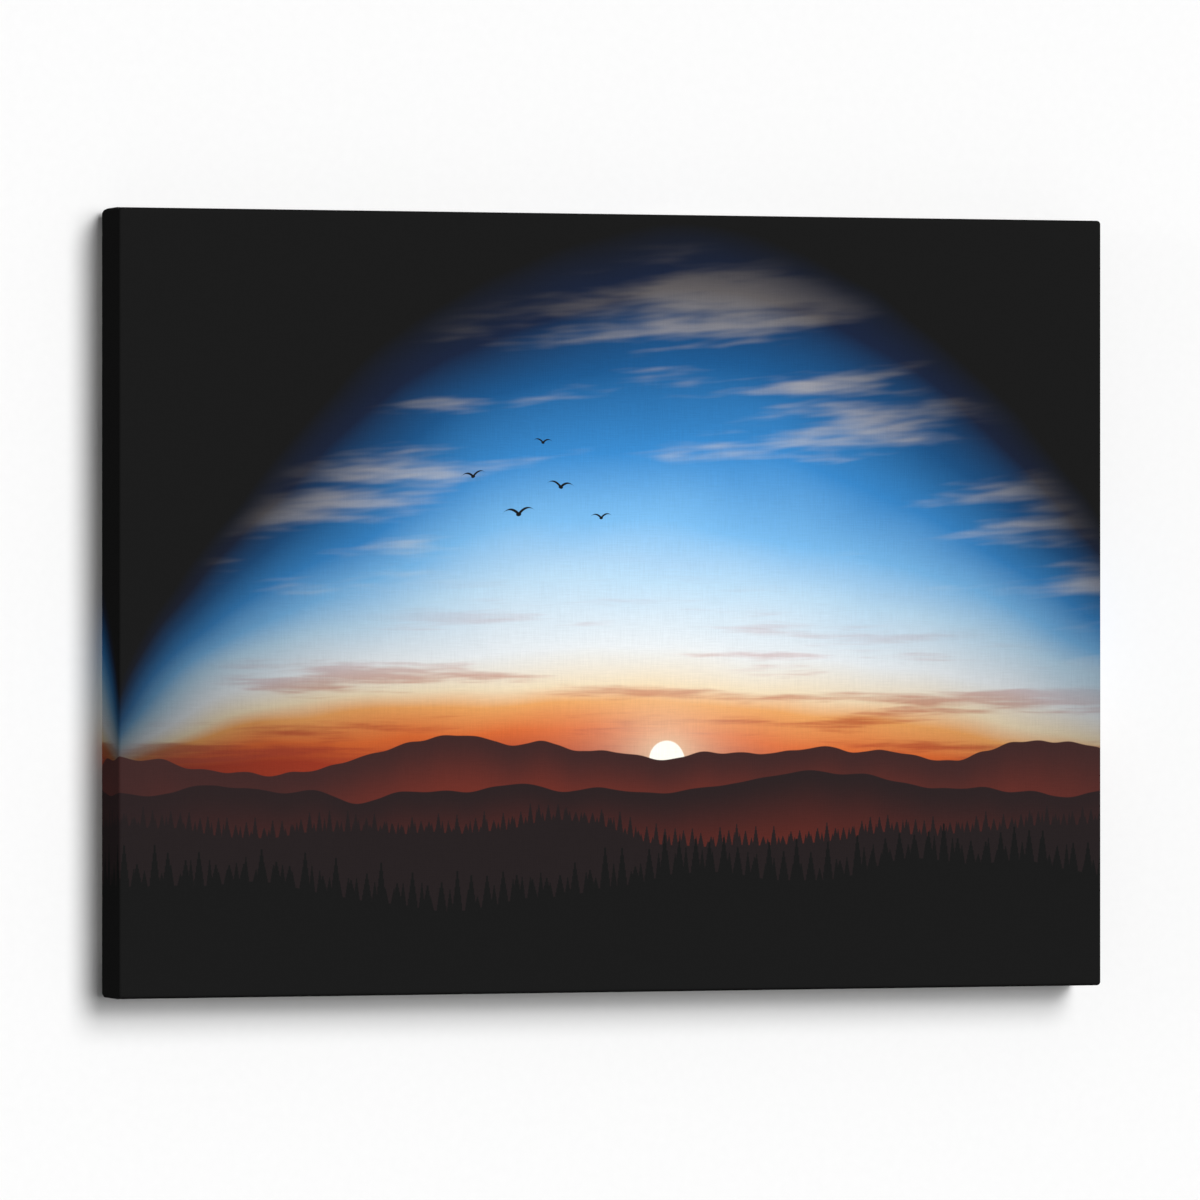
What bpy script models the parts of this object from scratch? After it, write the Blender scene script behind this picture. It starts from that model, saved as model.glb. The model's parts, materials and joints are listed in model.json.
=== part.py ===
"""Gallery-wrapped canvas print on a keyed pine stretcher, ready to hang on two wall hooks.

Blender 4.5 script, metres, +Z up. The print faces -Y and the wall is the plane Y = 0.
The origin lies on the wall, midway between the two points where the D-rings bear on their hooks.
"""

import math

import bmesh
import bpy
from mathutils import Matrix, Vector

# Overall size of the wrapped canvas: 24 x 18 x 1.5 inches
WIDTH = 0.6096
HEIGHT = 0.4572
DEPTH = 0.0381
CLOTH = 0.0005          # thickness of the primed cloth
EDGE_RADIUS = 0.0015    # rounding of the cloth over every outer edge
FLAP = 0.030            # width of the cloth folded onto the back
GAP = 0.0003            # play left between pieces that touch
PLAY = GAP / 2

# Wall side
PAD_HEIGHT = 0.005      # the rubber dots hold the back this far off the wall
PAD_RADIUS = 0.0062
PAD_FACE_RADIUS = 0.0052
PAD_SHOULDER = 0.55     # share of the height at which a dot starts to narrow
PAD_INSET = 0.016       # from the canvas edges to a dot's centre
HOOK_DROP = 0.115       # from the top edge down to the line of the wall hooks

Y_BACK = -PAD_HEIGHT
Y_FRONT = Y_BACK - DEPTH
Z_CENTRE = HOOK_DROP - HEIGHT / 2

# Stretcher bars, mitred, with a tongue and a slot at each end
BAR_WIDTH = 0.038
WOOD_BACK = Y_BACK - CLOTH - GAP
WOOD_FRONT = Y_FRONT + CLOTH + GAP
HALF_WIDTH = WIDTH / 2 - CLOTH - GAP
HALF_HEIGHT = HEIGHT / 2 - CLOTH - GAP
LIP_WIDTH = 0.005       # the raised bead that carries the cloth
LIP_BEVEL = 0.004
LIP_RELIEF = 0.0035     # how far the front face falls behind the bead
INNER_RELIEF = 0.0052   # and at the inner edge
LIP_RADIUS = 0.002
BACK_EASE = 0.001       # flat ground off the bars' outer back edge
INNER_RADIUS = 0.003
INNER_CHAMFER = 0.001
CORNER_CHAMFER = 0.0012
LAYER_THICKNESS = 0.006
LAYER_A = (0.0095, 0.0095 + LAYER_THICKNESS)        # depth behind the back face
LAYER_B = (LAYER_A[1], LAYER_A[1] + LAYER_THICKNESS)
OVER = 0.02             # how far a cutter reaches past what it cuts

# Corner keys: wedges driven into the slots from inside each corner
KEY_MOUTH = 0.009       # slot width at the bar's inner edge
KEY_TIP = 0.003         # slot width at its blind end
KEY_DEPTH = 0.028
KEY_OUT = 0.012         # how far a key stands out of its slot

# Strap hangers with D-rings
WIRE_RADIUS = 0.001
STRIP = 0.0008          # sheet thickness of the strap
EYE_PLAY = 0.00015      # between the ring's bar and the strap's eye
EYE_RADIUS = WIRE_RADIUS + EYE_PLAY
LOOP_RADIUS = EYE_RADIUS + STRIP
STRAP_WIDTH = 0.012
STRAP_LENGTH = 0.027    # from the ring's pivot to the strap's round end
SCREW_DROP = 0.020      # from the ring's pivot to the screw
RING_HALF_WIDTH = 0.0085
RING_HEIGHT = 0.0135
RING_CORNER = 0.0025
RING_X = HALF_WIDTH - BAR_WIDTH / 2
RING_Y = Y_BACK + GAP + LOOP_RADIUS
RING_Z = -(RING_HEIGHT - WIRE_RADIUS)
STRAP_FACE = Y_BACK + GAP + 2 * STRIP

# Hanger screws
SCREW_Z = RING_Z - SCREW_DROP
SHANK_RADIUS = 0.0015
HOLE_RADIUS = 0.0019
HEAD_RADIUS = 0.0035
HEAD_HEIGHT = 0.0019
HEAD_CROWN = ((0.55, 1.0), (0.86, 0.74), (1.0, 0.30))      # shares of radius and height, from the middle out
SCREW_LENGTH = 0.016    # under the head
HOLE_DEPTH = 0.0165
RECESS_WIDTH = 0.0009
RECESS_SPAN = 0.0038
RECESS_DEPTH = 0.0011

PINE = (0.62, 0.43, 0.24, 1.0)
KEY_PINE = (0.68, 0.50, 0.30, 1.0)
PRINT_BLACK = (0.012, 0.012, 0.012, 1.0)
ZINC = (0.62, 0.62, 0.64, 1.0)
BRASSED = (0.60, 0.56, 0.42, 1.0)
RUBBER = (0.03, 0.03, 0.03, 1.0)

# Local X, Y of an outline laid on two world axes; the extrusion follows the third
ON_XZ = Matrix(((1, 0, 0), (0, 0, -1), (0, 1, 0))).to_4x4()
ON_YZ = Matrix(((0, 0, 1), (1, 0, 0), (0, 1, 0))).to_4x4()


def clear_scene():
    for obj in list(bpy.data.objects):
        bpy.data.objects.remove(obj, do_unlink=True)


def new_collection(name):
    made = bpy.data.collections.new(name)
    bpy.context.scene.collection.children.link(made)
    return made


def new_material(name, colour, roughness, metallic=0.0):
    made = bpy.data.materials.new(name)
    made.use_nodes = True
    shader = made.node_tree.nodes["Principled BSDF"]
    shader.inputs["Base Color"].default_value = colour
    shader.inputs["Roughness"].default_value = roughness
    shader.inputs["Metallic"].default_value = metallic
    return made


def arc(centre, radius, start, end, steps):
    """Points on an arc from start to end, in degrees, ends included."""
    found = []
    for i in range(steps + 1):
        turn = math.radians(start + (end - start) * i / steps)
        found.append((centre[0] + radius * math.cos(turn), centre[1] + radius * math.sin(turn)))
    return found


def tidy_mesh(mesh):
    """Welds a curve's loose caps, and points every face outwards."""
    work = bmesh.new()
    work.from_mesh(mesh)
    bmesh.ops.remove_doubles(work, verts=work.verts, dist=1e-6)
    bmesh.ops.recalc_face_normals(work, faces=work.faces)
    work.to_mesh(mesh)
    work.free()


def curve_to_solid(name, curve, matrix, collection):
    """The curve as a plain mesh object, with matrix put into its mesh."""
    guide = bpy.data.objects.new(name + "_curve", curve)
    collection.objects.link(guide)
    bpy.context.view_layer.update()
    graph = bpy.context.evaluated_depsgraph_get()
    mesh = bpy.data.meshes.new_from_object(guide.evaluated_get(graph))
    bpy.data.objects.remove(guide)
    bpy.data.curves.remove(curve)
    mesh.transform(matrix)
    tidy_mesh(mesh)
    mesh.name = name
    solid = bpy.data.objects.new(name, mesh)
    collection.objects.link(solid)
    return solid


def prism(name, outlines, plane, low, high, collection):
    """Closed outlines, the first filled and the others holes in it, extruded from low to high."""
    curve = bpy.data.curves.new(name, "CURVE")
    curve.dimensions = "2D"
    curve.fill_mode = "BOTH"
    curve.extrude = (high - low) / 2
    for outline in outlines:
        spline = curve.splines.new("POLY")
        spline.points.add(len(outline) - 1)
        for point, (u, v) in zip(spline.points, outline):
            point.co = (u, v, 0, 1)
        spline.use_cyclic_u = True
    middle = (low + high) / 2
    normal = plane @ Vector((0, 0, 1))
    offset = Matrix.Translation(Vector(abs(c) * middle for c in normal))
    return curve_to_solid(name, curve, offset @ plane, collection)


def cut(target, cutter, operation="DIFFERENCE"):
    """A Boolean left live on target; cutter is kept as a hidden helper."""
    cutter.hide_render = True
    cutter.display_type = "WIRE"
    modifier = target.modifiers.new("cut_" + cutter.name, "BOOLEAN")
    modifier.operation = operation
    modifier.solver = "EXACT"
    modifier.object = cutter


def turned(name, profile, steps, collection):
    """A profile of (radius, height) points, top to bottom down its outer side, turned about local Z."""
    mesh = bpy.data.meshes.new(name)
    edges = [(i, i + 1) for i in range(len(profile) - 1)]
    mesh.from_pydata([(r, 0, h) for r, h in profile], edges, [])
    obj = bpy.data.objects.new(name, mesh)
    collection.objects.link(obj)
    screw = obj.modifiers.new("turn", "SCREW")
    screw.axis = "Z"
    screw.steps = steps
    screw.render_steps = steps
    screw.use_merge_vertices = True
    screw.merge_threshold = 0.00001
    return obj


def bar_profile(half):
    """Cross-section of a bar whose outer face is at z = half, as (y, z) points from the back's outer edge."""
    inner = half - BAR_WIDTH
    return [
        (WOOD_BACK, half - BACK_EASE),
        (WOOD_BACK - BACK_EASE, half),
        *arc((WOOD_FRONT + LIP_RADIUS, half - LIP_RADIUS), LIP_RADIUS, 90, 180, 4),
        (WOOD_FRONT, half - LIP_WIDTH),
        (WOOD_FRONT + LIP_RELIEF, half - LIP_WIDTH - LIP_BEVEL),
        (WOOD_FRONT + INNER_RELIEF, inner + INNER_CHAMFER),
        (WOOD_FRONT + INNER_RELIEF + INNER_CHAMFER, inner),
        *arc((WOOD_BACK - INNER_RADIUS, inner + INNER_RADIUS), INNER_RADIUS, 270, 360, 4),
    ]


def depth(value):
    """World y of a plane this far into the wood from its back face."""
    return WOOD_BACK - value


def mirrored(outline, side):
    """The outline for the +X end, or its mirror image for the -X end."""
    return outline if side > 0 else [(-x, z) for x, z in reversed(outline)]


def end_cutters(name, half_length, half, tongue, slot, side, cutters):
    """What shapes one end of a bar that lies along the top: the mitre, the slot and the eased corner."""
    x_in, z_in = half_length - BAR_WIDTH, half - BAR_WIDTH
    x_far, z_far = half_length + OVER, half + OVER
    shift = PLAY * math.sqrt(2) / 2
    mitre = [
        (x_in - OVER - shift, z_in - OVER + shift),
        (x_far, z_in - OVER),
        (x_far, z_in + (x_far - x_in) + 2 * shift),
    ]
    slope = (KEY_MOUTH - KEY_TIP) / KEY_DEPTH
    room = [
        (x_in - KEY_MOUTH - slope * OVER, z_in - OVER),
        (x_far, z_in - OVER),
        (x_far, z_far),
        (x_in - GAP, z_far),
        (x_in - GAP, z_in + KEY_DEPTH),
        (x_in - KEY_TIP, z_in + KEY_DEPTH),
    ]
    eased = [
        (half_length - CORNER_CHAMFER, z_far),
        (half_length - CORNER_CHAMFER, half),
        (half_length, half - CORNER_CHAMFER),
        (x_far, half - CORNER_CHAMFER),
        (x_far, z_far),
    ]
    back_limit = LAYER_A[0] + (PLAY if tongue == LAYER_A else 0)
    front_limit = LAYER_B[1] - (PLAY if tongue == LAYER_B else 0)
    whole = (WOOD_FRONT - OVER, WOOD_BACK + OVER)
    shapes = {
        "mitre_back": (mitre, depth(back_limit), whole[1]),
        "mitre_front": (mitre, whole[0], depth(front_limit)),
        "slot": (room, depth(slot[1] + PLAY), depth(slot[0] - PLAY)),
        "eased": (eased, *whole),
    }
    end = "right" if side > 0 else "left"
    return [
        prism(f"{name}_{kind}_{end}", [mirrored(outline, side)], ON_XZ, low, high, cutters)
        for kind, (outline, low, high) in shapes.items()
    ]


def stretcher_bar(name, half_length, half, tongue, slot, turn, holder, parts, cutters):
    """One bar, drawn along the top of the frame and turned about Y to its own side."""
    bar = prism(name, [bar_profile(half)], ON_YZ, -half_length, half_length, parts)
    for side in (1, -1):
        for cutter in end_cutters(name, half_length, half, tongue, slot, side, cutters):
            cutter.parent = bar
            cut(bar, cutter)
    bar.parent = holder
    bar.rotation_euler = (0, math.radians(turn), 0)
    return bar


def corner_key(name, half_length, half, layer, turn, side, holder, parts):
    """A wedge in the slot at one end of the bar that lies along the top, turned with that bar."""
    x_in, z_in = half_length - BAR_WIDTH, half - BAR_WIDTH
    slope = (KEY_MOUTH - KEY_TIP) / KEY_DEPTH
    tip, head = KEY_DEPTH - GAP, -KEY_OUT
    straight = x_in - GAP
    outline = [
        (straight, z_in + head),
        (straight, z_in + tip),
        (x_in - KEY_MOUTH + slope * tip + GAP, z_in + tip),
        (x_in - KEY_MOUTH + slope * head + GAP, z_in + head),
    ]
    low, high = depth(layer[1] - PLAY), depth(layer[0] + PLAY)
    key = prism(name, [mirrored(outline, side)], ON_XZ, low, high, parts)
    key.parent = holder
    key.rotation_euler = (0, math.radians(turn), 0)
    return key


def wrapped_canvas(name, holder, parts):
    """The cloth: front, four sides and the flaps folded onto the back, as an open sheet with a thickness."""
    mesh = bpy.data.meshes.new(name)
    work = bmesh.new()
    bmesh.ops.create_cube(work, size=1)
    bmesh.ops.scale(work, vec=(WIDTH, DEPTH, HEIGHT), verts=work.verts)
    bmesh.ops.translate(work, vec=(0, (Y_FRONT + Y_BACK) / 2, 0), verts=work.verts)
    bmesh.ops.bevel(work, geom=work.edges, offset=EDGE_RADIUS, segments=3, profile=0.5, affect="EDGES")
    back = max(work.faces, key=lambda face: face.calc_center_median().y)
    bmesh.ops.inset_region(work, faces=[back], thickness=FLAP - EDGE_RADIUS)
    bmesh.ops.delete(work, geom=[back], context="FACES")
    bmesh.ops.recalc_face_normals(work, faces=work.faces)
    work.to_mesh(mesh)
    work.free()
    cloth = bpy.data.objects.new(name, mesh)
    parts.objects.link(cloth)
    wall = cloth.modifiers.new("cloth", "SOLIDIFY")
    wall.thickness = CLOTH
    wall.offset = -1
    wall.use_even_offset = True
    cloth.parent = holder
    return cloth


def screw_hole(name, x, parts_cut, cutters):
    """The hole for one hanger screw, through the cloth and into the bar."""
    bpy.ops.mesh.primitive_cylinder_add(
        vertices=16,
        radius=HOLE_RADIUS,
        depth=HOLE_DEPTH + OVER,
        location=(x, WOOD_BACK - HOLE_DEPTH + (HOLE_DEPTH + OVER) / 2, SCREW_Z),
        rotation=(math.pi / 2, 0, 0),
    )
    hole = bpy.context.object
    hole.name = name
    for owner in list(hole.users_collection):
        owner.objects.unlink(hole)
    cutters.objects.link(hole)
    for part in parts_cut:
        cut(part, hole)


def strap(name, x, parts, cutters):
    """A steel strip folded round the ring's bar, its two layers flat under the screw."""
    pivot = (RING_Y, RING_Z)
    meet = math.degrees(math.acos((STRAP_FACE - RING_Y) / LOOP_RADIUS))
    foot = RING_Z - STRAP_LENGTH
    outer = [
        (Y_BACK + GAP, foot),
        *arc(pivot, LOOP_RADIUS, 180, -meet, 16),
        (STRAP_FACE, foot),
    ]
    eye = arc(pivot, EYE_RADIUS, 0, 337.5, 15)
    half = STRAP_WIDTH / 2
    made = prism(name, [outer, eye], ON_YZ, -half, half, parts)
    made.location.x = x
    rounded = [
        *arc((0, foot + half), half, 180, 360, 12),
        (half, OVER),
        (-half, OVER),
    ]
    shape = prism(name + "_outline", [rounded], ON_XZ, Y_BACK - OVER, Y_BACK + OVER, cutters)
    shape.location.x = x
    cut(made, shape, "INTERSECT")
    return made


def d_ring(name, x, parts):
    """A wire D whose straight bar lies in the strap's eye; the object's origin is on the pivot."""
    side, corner = RING_HALF_WIDTH, RING_CORNER
    bow = RING_HEIGHT - side
    path = [
        *arc((-side + corner, corner), corner, 180, 270, 4),
        *arc((side - corner, corner), corner, 270, 360, 4),
        *arc((0, bow), side, 0, 180, 16),
    ]
    curve = bpy.data.curves.new(name, "CURVE")
    curve.dimensions = "3D"
    curve.bevel_depth = WIRE_RADIUS
    curve.bevel_resolution = 3
    spline = curve.splines.new("POLY")
    spline.points.add(len(path) - 1)
    for point, (u, v) in zip(spline.points, path):
        point.co = (u, 0, v, 1)
    spline.use_cyclic_u = True
    ring = curve_to_solid(name, curve, Matrix.Identity(4), parts)
    ring.location = (x, RING_Y, RING_Z)
    return ring


def hanger_screw(name, x, parts, cutters):
    """A pan-head screw: head outside the strap, shank through it into the wood."""
    profile = [
        (0, HEAD_HEIGHT),
        *((HEAD_RADIUS * r, HEAD_HEIGHT * h) for r, h in HEAD_CROWN),
        (HEAD_RADIUS, 0),
        (SHANK_RADIUS, 0),
        (SHANK_RADIUS, SHANK_RADIUS * 2 - SCREW_LENGTH),
        (0, -SCREW_LENGTH),
    ]
    screw = turned(name, profile, 20, parts)
    seat = STRAP_FACE + GAP
    screw.location = (x, seat, SCREW_Z)
    screw.rotation_euler = (-math.pi / 2, 0, 0)
    top = seat + HEAD_HEIGHT
    for i, (wide, tall) in enumerate(((RECESS_SPAN, RECESS_WIDTH), (RECESS_WIDTH, RECESS_SPAN))):
        outline = [(-wide / 2, -tall / 2), (wide / 2, -tall / 2), (wide / 2, tall / 2), (-wide / 2, tall / 2)]
        slot = prism(f"{name}_recess_{i}", [outline], ON_XZ, top - RECESS_DEPTH, top + OVER, cutters)
        slot.location = (x, 0, SCREW_Z)
        cut(screw, slot)
    return screw


def wall_dot(name, x, holder, parts):
    """A soft rubber dot at a lower back corner, its flat face on the wall."""
    height = PAD_HEIGHT - GAP
    profile = [
        (0, height),
        (PAD_FACE_RADIUS, height),
        (PAD_RADIUS, height * PAD_SHOULDER),
        (PAD_RADIUS, 0),
        (0, 0),
    ]
    dot = turned(name, profile, 24, parts)
    dot.parent = holder
    dot.location = (x, Y_BACK + GAP, -HEIGHT / 2 + PAD_INSET)
    dot.rotation_euler = (-math.pi / 2, 0, 0)
    return dot


def paint(obj, material):
    obj.data.materials.clear()
    obj.data.materials.append(material)


def main():
    clear_scene()
    parts = new_collection("stretched_canvas_print")
    cutters = new_collection("cutters")
    holder = bpy.data.objects.new("canvas_centre", None)
    holder.location.z = Z_CENTRE
    parts.objects.link(holder)

    pine = new_material("pine", PINE, 0.62)
    key_pine = new_material("key_pine", KEY_PINE, 0.66)
    ink = new_material("printed_canvas", PRINT_BLACK, 0.75)
    zinc = new_material("zinc_steel", ZINC, 0.34, 1.0)
    brassed = new_material("screw_steel", BRASSED, 0.36, 1.0)
    rubber = new_material("rubber", RUBBER, 0.7)

    across = (HALF_WIDTH, HALF_HEIGHT, LAYER_A, LAYER_B)
    upright = (HALF_HEIGHT, HALF_WIDTH, LAYER_B, LAYER_A)
    sides = {"top": (across, 0), "right": (upright, 90), "bottom": (across, 180), "left": (upright, 270)}
    bars = {}
    for where, ((half_length, half, tongue, slot), turn) in sides.items():
        bar = stretcher_bar(f"bar_{where}", half_length, half, tongue, slot, turn, holder, parts, cutters)
        bars[where] = bar
        paint(bar, pine)
        for number, side in ((1, -1), (2, 1)):
            key = corner_key(f"key_{where}_{number}", half_length, half, slot, turn, side, holder, parts)
            paint(key, key_pine)

    canvas = wrapped_canvas("canvas", holder, parts)
    paint(canvas, ink)

    for where, x in (("left", -RING_X), ("right", RING_X)):
        screw_hole(f"screw_hole_{where}", x, (bars[where], canvas), cutters)
        hanger = strap(f"hanger_strap_{where}", x, parts, cutters)
        paint(hanger, zinc)
        cut(hanger, bpy.data.objects[f"screw_hole_{where}"])
        paint(d_ring(f"d_ring_{where}", x, parts), zinc)
        paint(hanger_screw(f"hanger_screw_{where}", x, parts, cutters), brassed)
        dot_x = math.copysign(WIDTH / 2 - PAD_INSET, x)
        paint(wall_dot(f"wall_dot_{where}", dot_x, holder, parts), rubber)


main()
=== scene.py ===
"""Looks of a gallery-wrapped canvas print: cloth, print, stretcher, hangers and a plain wall.

Laid out as a Blender add-on and run as a script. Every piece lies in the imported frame, in metres.
"""

import json
import math
import random

import bmesh
import bpy
from bpy.props import FloatProperty, FloatVectorProperty, IntProperty, PointerProperty
from mathutils import Matrix, Vector, noise

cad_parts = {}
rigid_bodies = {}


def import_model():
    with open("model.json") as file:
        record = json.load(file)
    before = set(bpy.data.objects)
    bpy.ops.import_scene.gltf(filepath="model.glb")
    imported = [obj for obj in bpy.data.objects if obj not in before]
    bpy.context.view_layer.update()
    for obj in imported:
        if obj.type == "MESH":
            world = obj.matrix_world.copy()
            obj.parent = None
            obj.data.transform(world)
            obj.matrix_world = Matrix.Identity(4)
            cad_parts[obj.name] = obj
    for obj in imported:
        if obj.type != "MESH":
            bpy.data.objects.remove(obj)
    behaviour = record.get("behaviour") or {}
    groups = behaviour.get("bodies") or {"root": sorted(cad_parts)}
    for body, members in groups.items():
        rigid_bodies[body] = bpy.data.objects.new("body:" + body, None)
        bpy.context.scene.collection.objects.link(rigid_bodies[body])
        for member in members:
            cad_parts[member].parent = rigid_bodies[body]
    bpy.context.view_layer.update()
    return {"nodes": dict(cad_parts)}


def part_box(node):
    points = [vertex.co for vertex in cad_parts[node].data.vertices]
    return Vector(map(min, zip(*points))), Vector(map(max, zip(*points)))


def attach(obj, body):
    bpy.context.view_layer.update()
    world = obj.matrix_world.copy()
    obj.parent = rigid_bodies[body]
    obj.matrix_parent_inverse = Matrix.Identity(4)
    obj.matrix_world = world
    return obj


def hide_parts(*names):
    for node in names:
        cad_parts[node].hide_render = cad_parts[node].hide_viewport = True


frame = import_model()

bl_info = {
    "name": "Stretched canvas print",
    "version": (1, 0, 0),
    "blender": (4, 5, 0),
    "location": "3D View > Sidebar > Canvas",
    "description": "Dresses a packed canvas print: wrapped cloth, timber, hangers, staples and a wall",
    "category": "Object",
}

# The wrapped canvas, from the frame
LOW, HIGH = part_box("canvas")
WIDTH, DEPTH, HEIGHT = HIGH - LOW
CENTRE = (LOW + HIGH) / 2
SIDES = ("top", "bottom", "left", "right")
HANDS = ("left", "right")
CORNERS = [(right, up) for right in (-1, 1) for up in (-1, 1)]      # signs along X and Z
FLAP = 0.030            # width of the cloth folded onto the back
FLAT_SPAN = WIDTH + 2 * (DEPTH + FLAP)      # width of the flat cloth


# Settings


def tint(red, green, blue):
    """A colour as seen on a screen, 0 to 255, as the linear values that Blender's sockets hold."""
    parts = []
    for part in (red, green, blue):
        part /= 255
        parts.append(part / 12.92 if part <= 0.04045 else ((part + 0.055) / 1.055) ** 2.4)
    return tuple(parts)


def colour(label, about, default):
    """A colour setting."""
    return FloatVectorProperty(name=label, description=about, default=default, subtype="COLOR", min=0, max=1)


def length(label, about, default):
    """A size setting in metres."""
    return FloatProperty(name=label, description=about, default=default, subtype="DISTANCE", unit="LENGTH")


def amount(label, about, default):
    """A plain number from zero up."""
    return FloatProperty(name=label, description=about, default=default, min=0)


class ClothSettings(bpy.types.PropertyGroup):
    thickness: length("Thickness", "Thickness of the primed cloth", 0.0005)
    edge_radius: length("Edge radius", "Rounding of the cloth over the frame's edges", 0.0022)
    flap: length("Flap", "Width of the cloth folded onto the back", FLAP)
    fold_rise: length("Fold rise", "How far the tucked layers lift the cloth at a corner", 0.0004)
    corner_drop: length("Corner drop", "How far the cloth sinks at an upper rear corner", 0.0008)
    pucker: length("Pucker", "How far the raw edge lifts between two staples", 0.0007)
    thread_pitch: length("Thread pitch", "Distance between two threads of the weave", 0.00062)
    slub: amount("Slub", "How much single threads differ in tone", 0.068)
    raw: colour("Raw cloth", "The unprimed inner side of the cloth", tint(214, 203, 182))
    primer: colour("Primer", "The white coat on the outer side", tint(232, 230, 224))


class PrintSettings(bpy.types.PropertyGroup):
    over_back: length("Print over the back", "How far the print runs onto the back flaps", 0.009)
    horizon: length("Horizon", "Height of the horizon above the canvas centre", -0.098)
    glow_place: length("Glow place", "Where the dawn is brightest, right of the centre", 0.030)
    glow_width: length("Glow width", "Half-width of the lit arch of the sky", 0.338)
    black: colour("Black", "Near woods and the night sky", tint(17, 17, 17))
    maroon: colour("Maroon", "Far hills", tint(58, 34, 33))
    ember: colour("Ember", "Lowest sky", tint(170, 58, 32))
    orange: colour("Orange", "Low sky", tint(214, 102, 46))
    amber: colour("Amber", "Sky above the orange", tint(230, 160, 92))
    cream: colour("Cream", "Brightest warm sky", tint(236, 217, 184))
    white: colour("White", "Brightest sky", tint(228, 233, 236))
    pale: colour("Pale blue", "Sky above the white", tint(184, 216, 238))
    sky: colour("Sky blue", "Middle of the sky", tint(120, 183, 232))
    blue: colour("Blue", "Upper sky", tint(54, 134, 200))
    deep: colour("Deep blue", "High sky", tint(22, 84, 138))
    navy: colour("Navy", "Edge of the night", tint(17, 32, 60))
    umber: colour("Umber", "Near hills", tint(38, 27, 28))
    bark: colour("Bark", "Far woods", tint(32, 25, 26))
    sunlight: colour("Sunlight", "The sun's disc", tint(255, 250, 236))
    sun_radius: length("Sun radius", "Half-width of the sun's disc", 0.0113)


class TimberSettings(bpy.types.PropertyGroup):
    edge: length("Edge", "Wear on the planed edges", 0.0005)
    ring_pitch: length("Ring pitch", "Distance between two year rings", 0.0042)
    early: colour("Early wood", "Pale spring wood", tint(226, 193, 146))
    late: colour("Late wood", "Darker summer wood", tint(186, 134, 82))
    knot: colour("Knot", "Knots and resin", tint(118, 72, 40))
    seed: IntProperty(name="Seed", description="Chooses the grain of each bar", default=7)


class HardwareSettings(bpy.types.PropertyGroup):
    zinc: colour("Zinc", "Bright zinc plate", tint(205, 207, 210))
    yellow: colour("Yellow zinc", "Passivated zinc on the screws", tint(214, 196, 140))
    rubber: colour("Rubber", "Wall dots", tint(38, 38, 40))
    staple_pitch: length("Staple pitch", "Distance between two staples", 0.040)
    staple_width: length("Staple width", "Width of a staple's crown", 0.0105)
    staple_wire: length("Staple wire", "Half the thickness of a staple's wire", 0.00045)
    seed: IntProperty(name="Seed", description="Chooses how crooked the staples are", default=3)


class StageSettings(bpy.types.PropertyGroup):
    wall: colour("Wall", "Matt white paint", (0.86, 0.86, 0.86))
    floor: colour("Floor", "Plain pale floor", (0.92, 0.92, 0.92))
    floor_drop: length("Floor drop", "Height of the wall hooks above the floor", 1.50)
    air: amount("Air light", "Light from all round", 0.145)
    backdrop: amount("Backdrop", "How bright the far room looks", 0.95)
    lens: amount("Lens", "Focal length on a 36 mm sensor, in mm", 281.5)


# Shader expressions


def sum_of(operation, swapped=False):
    """A method of Number that adds one Math node; swapped puts the number itself last."""

    def method(number, *others):
        parts = (*others, number) if swapped else (number, *others)
        return number.recipe.number("ShaderNodeMath", {"operation": operation}, dict(enumerate(parts)))

    return method


class Number:
    """A shader socket that takes part in sums as a number does."""

    def __init__(self, recipe, socket):
        self.recipe = recipe
        self.socket = socket

    __add__ = __radd__ = sum_of("ADD")
    __sub__ = sum_of("SUBTRACT")
    __rsub__ = sum_of("SUBTRACT", swapped=True)
    __mul__ = __rmul__ = sum_of("MULTIPLY")
    __truediv__ = sum_of("DIVIDE")
    __rtruediv__ = sum_of("DIVIDE", swapped=True)
    __pow__ = sum_of("POWER")
    __abs__ = sum_of("ABSOLUTE")
    cosine = sum_of("COSINE")
    root = sum_of("SQRT")
    floor = sum_of("FLOOR")
    fraction = sum_of("FRACT")
    exponent = sum_of("EXPONENT")
    sign = sum_of("SIGN")
    least = sum_of("MINIMUM")
    most = sum_of("MAXIMUM")

    def clamped(self):
        settings = {"operation": "ADD", "use_clamp": True}
        return self.recipe.number("ShaderNodeMath", settings, {0: self, 1: 0.0})

    def step(self, low, high):
        """0 below low, 1 above high, and smooth between; low may be above high."""
        sockets = {0: self, 1: low, 2: high, 3: 0.0, 4: 1.0}
        if low > high:
            sockets = {0: self, 1: high, 2: low, 3: 1.0, 4: 0.0}
        settings = {"data_type": "FLOAT", "interpolation_type": "SMOOTHSTEP"}
        return self.recipe.number("ShaderNodeMapRange", settings, sockets)


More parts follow.
